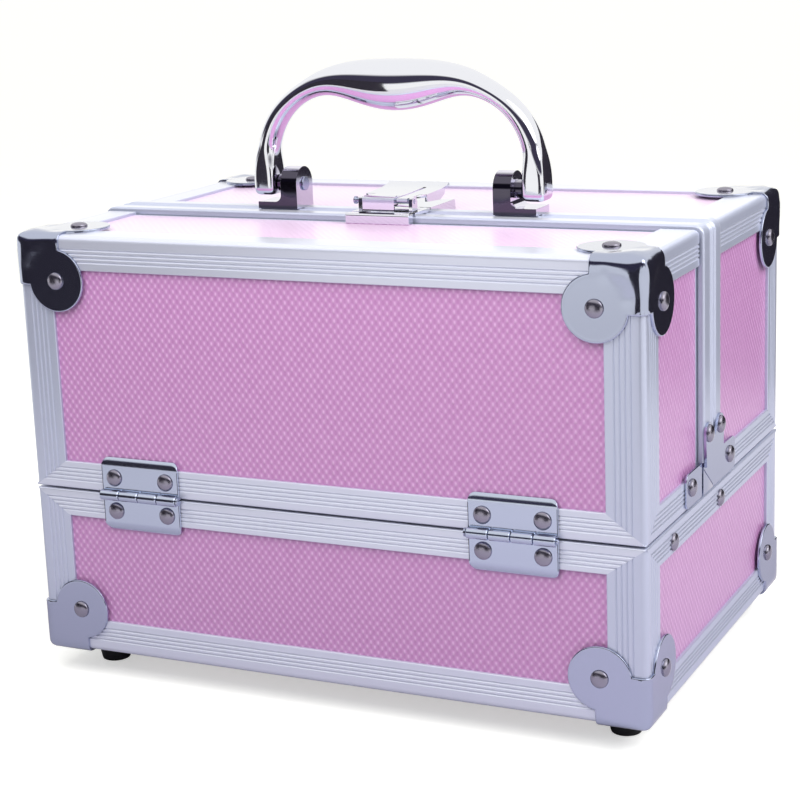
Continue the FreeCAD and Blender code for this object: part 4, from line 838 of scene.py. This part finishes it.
# ---------------------------------------------------------------- hinges

HINGE_PLACE = 73.4
HINGE_WIDTH = 32.5
LEAF_PLATE = 0.9
AXIS_OUT = 2.05
KNUCKLE = 2.0
LEAF_START = 1.2
LEAF_END = 13.8
LEAF_CORNER = 2.6
LEAF_EDGE = 0.3
LEAF_JOG = 1.15
LEAF_RAMP = 3.4
KNUCKLES = 4
KNUCKLE_GAP = 0.3
PIN_RADIUS = 0.9


def leaf_grids(sense, rail_height, first):
    """The right front leaf of a hinge: a pressed plate, folded to the board, and its barrels.

    Across the plate the outer edge follows rounded corners; up the plate the face follows the
    fold. Both faces and the rim are strips between the same rows."""
    half = HINGE_WIDTH / 2
    across = np.concatenate([
        -half + LEAF_CORNER * (1 - np.cos(np.linspace(0.0, math.pi / 2, 8))),
        half - LEAF_CORNER * (1 - np.cos(np.linspace(math.pi / 2, 0.0, 8)))])
    inward = np.clip(np.abs(across) - (half - LEAF_CORNER), 0.0, LEAF_CORNER)
    end = LEAF_END - LEAF_CORNER + np.sqrt(LEAF_CORNER ** 2 - inward ** 2)
    shares = np.linspace(0.0, 1.0, 22)[:, None]
    rise = LEAF_START + (end - LEAF_START) * shares
    fold = rail_height + LEAF_PLATE
    face_y = FRONT - LEAF_PLATE + LEAF_JOG * smooth((rise - fold) / LEAF_RAMP)
    x = np.broadcast_to(HINGE_PLACE + across, rise.shape)
    z = AXIS_LEVEL + sense * rise
    outer = np.stack([x, face_y, z], axis=-1)
    inner = np.stack([x, face_y + LEAF_PLATE * 0.85, z], axis=-1)
    shrunk = outer.copy()
    shrunk[:, 0, 0] += LEAF_EDGE
    shrunk[:, -1, 0] -= LEAF_EDGE
    shrunk[-1, :, 2] -= LEAF_EDGE * sense
    rim = outer.copy()
    rim[..., 1] += LEAF_EDGE
    grids = [shrunk, inner]
    for pick in (np.s_[0], np.s_[-1], np.s_[:, 0], np.s_[:, -1]):
        grids.append(np.stack([shrunk[pick], rim[pick], inner[pick]]))
    step = HINGE_WIDTH / KNUCKLES
    for number in range(first, KNUCKLES, 2):
        low = HINGE_PLACE - half + step * number + KNUCKLE_GAP / 2
        length = step - KNUCKLE_GAP
        profile = [(0.0, 0.0), (0.0, KNUCKLE - LEAF_EDGE), (LEAF_EDGE, KNUCKLE),
                   (length - LEAF_EDGE, KNUCKLE), (length, KNUCKLE - LEAF_EDGE), (length, 0.0)]
        barrel = turned_body((low, FRONT - AXIS_OUT, AXIS_LEVEL), (1, 0, 0), profile, 28)
        grids.append(barrel)
    return grids


def make_hinges():
    """The four hinges, each of a lid leaf, a base leaf and a headed pin."""
    lid_leaf = with_mirror(leaf_grids(1, LID_RAIL, 0), 0)
    base_leaf = four_ways(leaf_grids(-1, BASE_RAIL, 1))
    for node_name, grids in (("front_hinge_lid_leaves", lid_leaf),
                             ("rear_hinge_lid_leaves", mirrored(lid_leaf, 1)),
                             ("hinge_base_leaves", base_leaf)):
        piece(node_name + "_rolled", [node_name], LEAF_STEEL, grids,
              sharp=40.0)
    start = HINGE_PLACE - HINGE_WIDTH / 2
    profile = [(-1.1, 0.0), (-1.1, PIN_RADIUS), (-0.8, 1.5), (-0.1, 1.6), (0.0, PIN_RADIUS),
               (HINGE_WIDTH + 0.4, PIN_RADIUS), (HINGE_WIDTH + 0.7, PIN_RADIUS - 0.3),
               (HINGE_WIDTH + 0.7, 0.0)]
    pin = turned_body((start, FRONT - AXIS_OUT, AXIS_LEVEL), (1, 0, 0), profile, 24)
    piece("hinge_pins_turned", ["hinge_pins"], CHROME, four_ways([pin]))


# ---------------------------------------------------------------- centre strip


STRIP_BEND = 4.0
STRIP_THICK = 2.4
STRIP_EDGE_DROP = 0.9
STRIP_CHANNELS = (8.2, 12.2)
CHANNEL_DEPTH = 0.7


def strip_profile():
    """The strip's section as (place across, height): a bar with rolled edges and two channels."""
    width = STRIP_REAR - STRIP_FRONT
    places = np.concatenate([[0.0, 0.15, 0.5, 1.0], np.linspace(1.5, width - 1.5, 69),
                             [width - 1.0, width - 0.5, width - 0.15, width]])
    edge = np.minimum(places, width - places)
    height = -STRIP_EDGE_DROP * (1 - np.sqrt(1 - (1 - np.clip(edge, 0.0, 1.0)) ** 2))
    for centre in STRIP_CHANNELS:
        flank = np.abs(places - centre)
        height -= CHANNEL_DEPTH * (1 - smooth((flank - 1.1) / 0.9))
    top_line = np.stack([places, height], axis=-1)
    back = np.array([[width, -STRIP_THICK], [0.0, -STRIP_THICK]])
    loop = np.concatenate([top_line, back])
    return np.concatenate([loop, loop[:1]])


def make_strip():
    """The centre strip, its section carried up one side, over the top and down the other."""
    loop = strip_profile()
    foot = LID_LOW + LID_RAIL + 2.2
    path = [(STRIP_SIDE, foot, 1.0, 0.0), (STRIP_SIDE, foot + 30.0, 1.0, 0.0),
            (STRIP_SIDE, STRIP_TOP - STRIP_BEND - 1.0, 1.0, 0.0)]
    for angle in np.linspace(0.0, math.pi / 2, 9):
        out, up = math.cos(angle), math.sin(angle)
        path.append((STRIP_SIDE - STRIP_BEND + STRIP_BEND * out,
                     STRIP_TOP - STRIP_BEND + STRIP_BEND * up, out, up))
    path.append((SIDE / 2, STRIP_TOP, 0.0, 1.0))
    path = path + [(-x, z, -way_x, way_z) for x, z, way_x, way_z in reversed(path)]
    path = np.array(path)
    across = STRIP_FRONT + loop[:, 0]
    x = path[:, 0][:, None] + path[:, 2][:, None] * loop[:, 1]
    z = path[:, 1][:, None] + path[:, 3][:, None] * loop[:, 1]
    bar = np.stack([x, np.broadcast_to(across, x.shape), z], axis=-1)
    middle = bar.mean(axis=1, keepdims=True)
    ends = [band(bar[row], np.broadcast_to(middle[row], bar[row].shape)) for row in (0, -1)]
    under_rail = SIDE - PLATE
    low = LID_LOW + PLATE
    flange_path = np.array([[under_rail, low], [under_rail, TOP - PLATE],
                            [-under_rail, TOP - PLATE], [-under_rail, low]])
    inner_path = np.array([[INNER_SIDE, low], [INNER_SIDE, LINING_TOP],
                           [-INNER_SIDE, LINING_TOP], [-INNER_SIDE, low]])
    corners = []
    for line, depth in ((flange_path, 0.0), (flange_path, PLATE), (inner_path, PLATE),
                        (inner_path, 0.0), (flange_path, 0.0)):
        y = np.full(4, STRIP_FRONT + depth)
        corners.append(np.stack([line[:, 0], y, line[:, 1]], axis=-1))
    flange = np.stack(corners, axis=1)
    tips = [np.stack([flange[row, :2], flange[row, 3:1:-1]]) for row in (0, -1)]
    piece("rear_lid_centre_strip_drawn", ["rear_lid_centre_strip"], RAIL_UP,
          [bar] + ends + [flange] + tips, sharp=35.0)


# ---------------------------------------------------------------- carry handle

HANDLE_Y = -6.45
HANDLE_Z = 180.3
HANDLE_SPAN = 54.85
HANDLE_RISE = 38.5
HANDLE_POWER = 2 / 2.6
HANDLE_DIP = 3.9
ARCH_START = 2.7
LEG_DEEP = 5.5
LEG_THICK = 4.5
FOOT_DEEP = 5.8
FOOT_UNDER = 4.2
FOOT_CORNER = 2.6
FOOT_SHRINK = 0.35
FOOT_SQUARE = 5.0
FOOT_DEEPER = 0.3
SHOULDER_THINNER = 0.9
GRIP_DEEPER = 3.5
GRIP_THICKER = 5.9
GRIP_SQUARE = 2.1


def swell_share(across, width):
    """One in the middle of the grip, falling as a squared cosine to nought at a share of it."""
    share = np.clip(np.abs(across) / width, 0.0, 1.0)
    return np.cos(math.pi / 2 * share) ** 2


def handle_stations():
    """Centre line and half sizes of the handle at every station, from one foot to the other.

    Centre line x = span cos^power and z = rise sin^power less the dip. The half sizes swell in
    the grip. Under the arch a straight foot goes on down and closes on rounded corners. The
    square is the power of the section: two is an oval and five is nearly a rectangle."""
    angle = np.linspace(0.0, math.pi, 141)
    across = np.sign(np.cos(angle)) * np.abs(np.cos(angle)) ** HANDLE_POWER
    up = np.sin(angle) ** HANDLE_POWER
    foot = 1 - smooth(up / 0.33)
    arch = np.stack([
        HANDLE_SPAN * across,
        HANDLE_Z + ARCH_START + HANDLE_RISE * up - HANDLE_DIP * swell_share(across, 0.6),
        LEG_DEEP + GRIP_DEEPER * swell_share(across, 0.93) + FOOT_DEEPER * foot,
        (LEG_THICK - SHOULDER_THINNER * np.minimum(up / 0.7, 1.0)
         + GRIP_THICKER * swell_share(across, 0.78)),
        GRIP_SQUARE + (FOOT_SQUARE - GRIP_SQUARE) * foot])
    depth = ARCH_START + FOOT_UNDER
    drop = depth * np.linspace(0.0, 1.0, 21)[1:]
    close = np.clip((drop - depth + FOOT_CORNER) / FOOT_CORNER, 0.0, 1.0)
    shrink = 1 - FOOT_SHRINK * (1 - np.sqrt(1 - close ** 2))
    leg = np.stack([np.full(len(drop), HANDLE_SPAN), HANDLE_Z + ARCH_START - drop,
                    FOOT_DEEP * shrink, LEG_THICK * shrink, np.full(len(drop), FOOT_SQUARE)])
    far_leg = leg.copy()
    far_leg[0] *= -1
    return np.concatenate([leg[:, ::-1], arch, far_leg], axis=1), len(drop)


def make_handle():
    """The handle: a superellipse carried through its stations, square to the centre line.

    A point is x + climb * thick * sin^(2/square), y + deep * cos^(2/square) and
    z - run * thick * sin^(2/square), where run and climb are the line's unit direction."""
    (x, z, deep, thick, square), leg_count = handle_stations()
    number = np.arange(len(x))
    on_leg = np.minimum(number, len(x) - 1 - number) <= leg_count
    run = np.where(on_leg, 0.0, np.gradient(x))
    climb = np.gradient(z)
    length = np.hypot(run, climb)
    around = np.linspace(0.0, math.tau, 73)
    power = 2 / square[:, None]
    cosine = np.sign(np.cos(around)) * np.abs(np.cos(around)) ** power
    sine = np.sign(np.sin(around)) * np.abs(np.sin(around)) ** power
    side = thick[:, None] * sine
    grid = np.stack([x[:, None] + (climb / length)[:, None] * side,
                     HANDLE_Y + deep[:, None] * cosine,
                     z[:, None] - (run / length)[:, None] * side], axis=-1)
    ends = [band(grid[row], np.broadcast_to(grid[row].mean(axis=0), grid[row].shape))
            for row in (0, -1)]
    piece("carry_handle_polished", ["carry_handle"], GRIP_CHROME, [grid] + ends,
          sharp=50.0)


# ---------------------------------------------------------------- dressing the other nodes

make_rails()
make_caps()
make_rivets()
make_arm_rivets()
make_feet()
make_hinges()
make_strip()
make_handle()

bevelled("handle_brackets", BRACKET_CHROME, 0.5)
for node_name in ("latch_lever", "latch_keeper", "latch_base"):
    bevelled(node_name, GRIP_CHROME, 0.3)
for node_name in ("strip_foot_plates", "front_lid_wing_plates"):
    bevelled(node_name, CHROME, 0.3)
for node_name in ("handle_pins", "latch_lever_pin"):
    bevelled(node_name, CHROME, 0.2)
bevelled("lift_tray", TRAY_PLASTIC, 0.5)
for node_name in ("front_tray_arms", "rear_tray_arms"):
    bevelled(node_name, ARM_STEEL, 0.2)

FINISHES = {
    "base_long_boards": PINK, "base_short_boards": PINK, "base_floor_board": PINK,
    "front_lid_wall_board": PINK, "front_lid_top_board": PINK, "front_lid_side_boards": PINK,
    "rear_lid_wall_board": PINK, "rear_lid_top_board": PINK, "rear_lid_side_boards": PINK,
    "base_lining": FELT, "front_lid_lining": FELT, "rear_lid_lining": FELT,
    "front_lid_edge_trims": RAIL_UP, "lid_mirror": MIRROR, "mirror_clips": CHROME,
    "tray_studs": ARM_STEEL, "tray_link_pins": ARM_STEEL,
}
for node_name, finish in FINISHES.items():
    mesh = frame["nodes"][node_name].data
    mesh.materials.clear()
    mesh.materials.append(finish)


# ---------------------------------------------------------------- studio

# Distances in metres; the band runs between two heights of a direction's unit vector.
PAPER_WHITE = (1.0, 1.0, 0.98, 1.0)
AMBIENT = 0.48
BAND_LOW = 0.02
BAND_HIGH = 0.60
SHADE_REACH = 1.0
SHADE_FALL = 1.3
FLOOR_GLOW = 0.50
FLOOR_EDGE = 30.0


def stage_mesh(name, corners, finish):
    """A flat four-sided sheet of the studio."""
    mesh = bpy.data.meshes.new(name)
    mesh.from_pydata([Vector(corner) for corner in corners], [], [(0, 1, 2, 3)])
    mesh.materials.append(finish)
    sheet = bpy.data.objects.new(name, mesh)
    bpy.context.scene.collection.objects.link(sheet)
    return sheet


def black_flag(name, centre, width, height, facing):
    """A dark card that only polished metal shows, as a studio sets beside chrome."""
    finish = new_finish(name + "_cloth", srgb(38, 34, 44), 0.0, 0.9)[0]
    facing = Vector(facing).normalized()
    across = facing.cross(Vector((0, 0, 1))).normalized() * (width / 2)
    up = Vector((0, 0, 1)) * (height / 2)
    centre = Vector(centre)
    corners = [centre - across - up, centre + across - up, centre + across + up,
               centre - across + up]
    card = stage_mesh(name, corners, finish)
    card.visible_camera = False
    card.visible_diffuse = False
    card.visible_shadow = False
    card.visible_transmission = False


def soft_sun(name, direction, strength, angle):
    """A broad even lamp from a direction."""
    data = bpy.data.lights.new(name, "SUN")
    data.energy = strength
    data.angle = math.radians(angle)
    lamp = bpy.data.objects.new(name, data)
    lamp.rotation_mode = "QUATERNION"
    lamp.rotation_quaternion = Vector(direction).to_track_quat("Z", "Y")
    bpy.context.scene.collection.objects.link(lamp)


def soft_panel(name, place, aim, size, power):
    """A square lamp near the case, so that light falls off away from it."""
    data = bpy.data.lights.new(name, "AREA")
    data.energy = power
    data.size = size
    lamp = bpy.data.objects.new(name, data)
    lamp.location = place
    lamp.rotation_mode = "QUATERNION"
    lamp.rotation_quaternion = (Vector(place) - Vector(aim)).to_track_quat("Z", "Y")
    lamp.visible_glossy = False
    bpy.context.scene.collection.objects.link(lamp)


def make_world():
    """Even pale light all round, white to the camera and to polished metal.

    Low over the horizon in front polished metal also meets a dark band, the far end of the room."""
    world = bpy.data.worlds.new("PaleStudio")
    bpy.context.scene.world = world
    world.use_nodes = True
    tree = world.node_tree
    backdrop = tree.nodes["Background"]
    path = tree.nodes.new("ShaderNodeLightPath")
    seen = math_node(tree, "MAXIMUM", path.outputs["Is Camera Ray"], path.outputs["Is Glossy Ray"])
    seen = math_node(tree, "MAXIMUM", seen, path.outputs["Is Transmission Ray"])
    wire(tree, mix_value(tree, seen, AMBIENT, 1.0), backdrop.inputs["Strength"])
    place = tree.nodes.new("ShaderNodeTexCoord")
    way = tree.nodes.new("ShaderNodeSeparateXYZ")
    wire(tree, place.outputs["Generated"], way.inputs[0])
    rising = math_node(tree, "SUBTRACT", way.outputs[2], BAND_LOW)
    falling = math_node(tree, "SUBTRACT", BAND_HIGH, way.outputs[2])
    dark = within_one(tree, math_node(tree, "MINIMUM", math_node(tree, "MULTIPLY", rising, 14.0),
                                      math_node(tree, "MULTIPLY", falling, 9.0)))
    ahead = within_one(tree, math_node(tree, "MULTIPLY_ADD", way.outputs[1], -4.0, 0.4))
    dark = math_node(tree, "MULTIPLY", dark, ahead)
    dark = math_node(tree, "MULTIPLY", dark, path.outputs["Is Glossy Ray"])
    tint = tree.nodes.new("ShaderNodeMix")
    tint.data_type = "RGBA"
    wire(tree, dark, tint.inputs["Factor"])
    tint.inputs["A"].default_value = PAPER_WHITE
    tint.inputs["B"].default_value = srgb(62, 58, 76)
    wire(tree, tint.outputs["Result"], backdrop.inputs["Color"])


def studio_floor():
    """A broad pale floor that keeps shadows and joins the white backdrop.

    To the case itself it is greyer close by, where the case stands in its own shade."""
    pale = srgb(228, 228, 224)
    finish, tree, shader = new_finish("studio_floor", pale, 0.0, 0.9)
    path = tree.nodes.new("ShaderNodeLightPath")
    place = tree.nodes.new("ShaderNodeTexCoord")
    reach = tree.nodes.new("ShaderNodeVectorMath")
    reach.operation = "LENGTH"
    wire(tree, place.outputs["Object"], reach.inputs[0])
    near = math_node(tree, "MULTIPLY_ADD", reach.outputs["Value"], -SHADE_FALL,
                     SHADE_REACH * SHADE_FALL)
    near = within_one(tree, near)
    bounced = math_node(tree, "MAXIMUM", path.outputs["Is Glossy Ray"],
                        path.outputs["Is Diffuse Ray"])
    tint = tree.nodes.new("ShaderNodeMix")
    tint.data_type = "RGBA"
    wire(tree, math_node(tree, "MULTIPLY", near, bounced), tint.inputs["Factor"])
    tint.inputs["A"].default_value = pale
    tint.inputs["B"].default_value = srgb(184, 181, 191)
    wire(tree, tint.outputs["Result"], shader.inputs["Base Color"])
    far = math_node(tree, "SUBTRACT", 1.0, near)
    seen = math_node(tree, "MULTIPLY", path.outputs["Is Glossy Ray"], far)
    seen = math_node(tree, "MAXIMUM", seen, path.outputs["Is Camera Ray"])
    seen = math_node(tree, "MAXIMUM", seen, path.outputs["Is Transmission Ray"])
    shader.inputs["Emission Color"].default_value = PAPER_WHITE
    wire(tree, math_node(tree, "MULTIPLY", seen, FLOOR_GLOW), shader.inputs["Emission Strength"])
    return finish


bpy.context.scene.view_settings.view_transform = "Standard"
make_world()
stage_mesh("studio_floor",
           [(-FLOOR_EDGE, -FLOOR_EDGE, 0), (FLOOR_EDGE, -FLOOR_EDGE, 0),
            (FLOOR_EDGE, FLOOR_EDGE, 0), (-FLOOR_EDGE, FLOOR_EDGE, 0)], studio_floor())
black_flag("flag_right_rear", (0.42, 0.38, 0.16), 0.66, 0.32, (-0.25, -1.0, 0.0))
black_flag("flag_left_front", (-0.40, -0.42, 0.14), 0.36, 0.34, (0.57, 0.8, 0.0))
black_flag("flag_front", (0.20, -0.50, 0.09), 0.34, 0.22, (0.0, 1.0, 0.0))
soft_sun("key_lamp", (0.80, -0.10, 0.65), 0.75, 45.0)
soft_panel("front_lamp", (0.0, -0.32, 0.48), (0.0, -0.08, 0.18), 0.4, 2.2)
soft_panel("side_lamp", (0.47, 0.10, 0.53), (0.12, 0.0, 0.18), 0.4, 3.3)

# ---------------------------------------------------------------- camera

CAMERA_PLACE = Vector((314.16, -663.51, 275.72)) * MM
CAMERA_AIM = Vector((-0.42265, 0.87485, -0.23666)).normalized()
CAMERA_ROLL = math.radians(2.22)


def make_camera():
    """A camera that looks along its aim and is rolled about it."""
    data = bpy.data.cameras.new("camera")
    data.lens = 88.4
    data.sensor_width = 36.0
    camera = bpy.data.objects.new("camera", data)
    bpy.context.scene.collection.objects.link(camera)
    level_right = CAMERA_AIM.cross(Vector((0, 0, 1))).normalized()
    level_down = CAMERA_AIM.cross(level_right)
    right = level_right * math.cos(CAMERA_ROLL) + level_down * math.sin(CAMERA_ROLL)
    down = CAMERA_AIM.cross(right)
    turn = Matrix((right, -down, -CAMERA_AIM)).transposed().to_4x4()
    camera.matrix_world = Matrix.Translation(CAMERA_PLACE) @ turn
    bpy.context.scene.camera = camera


make_camera()

bpy.context.view_layer.update()
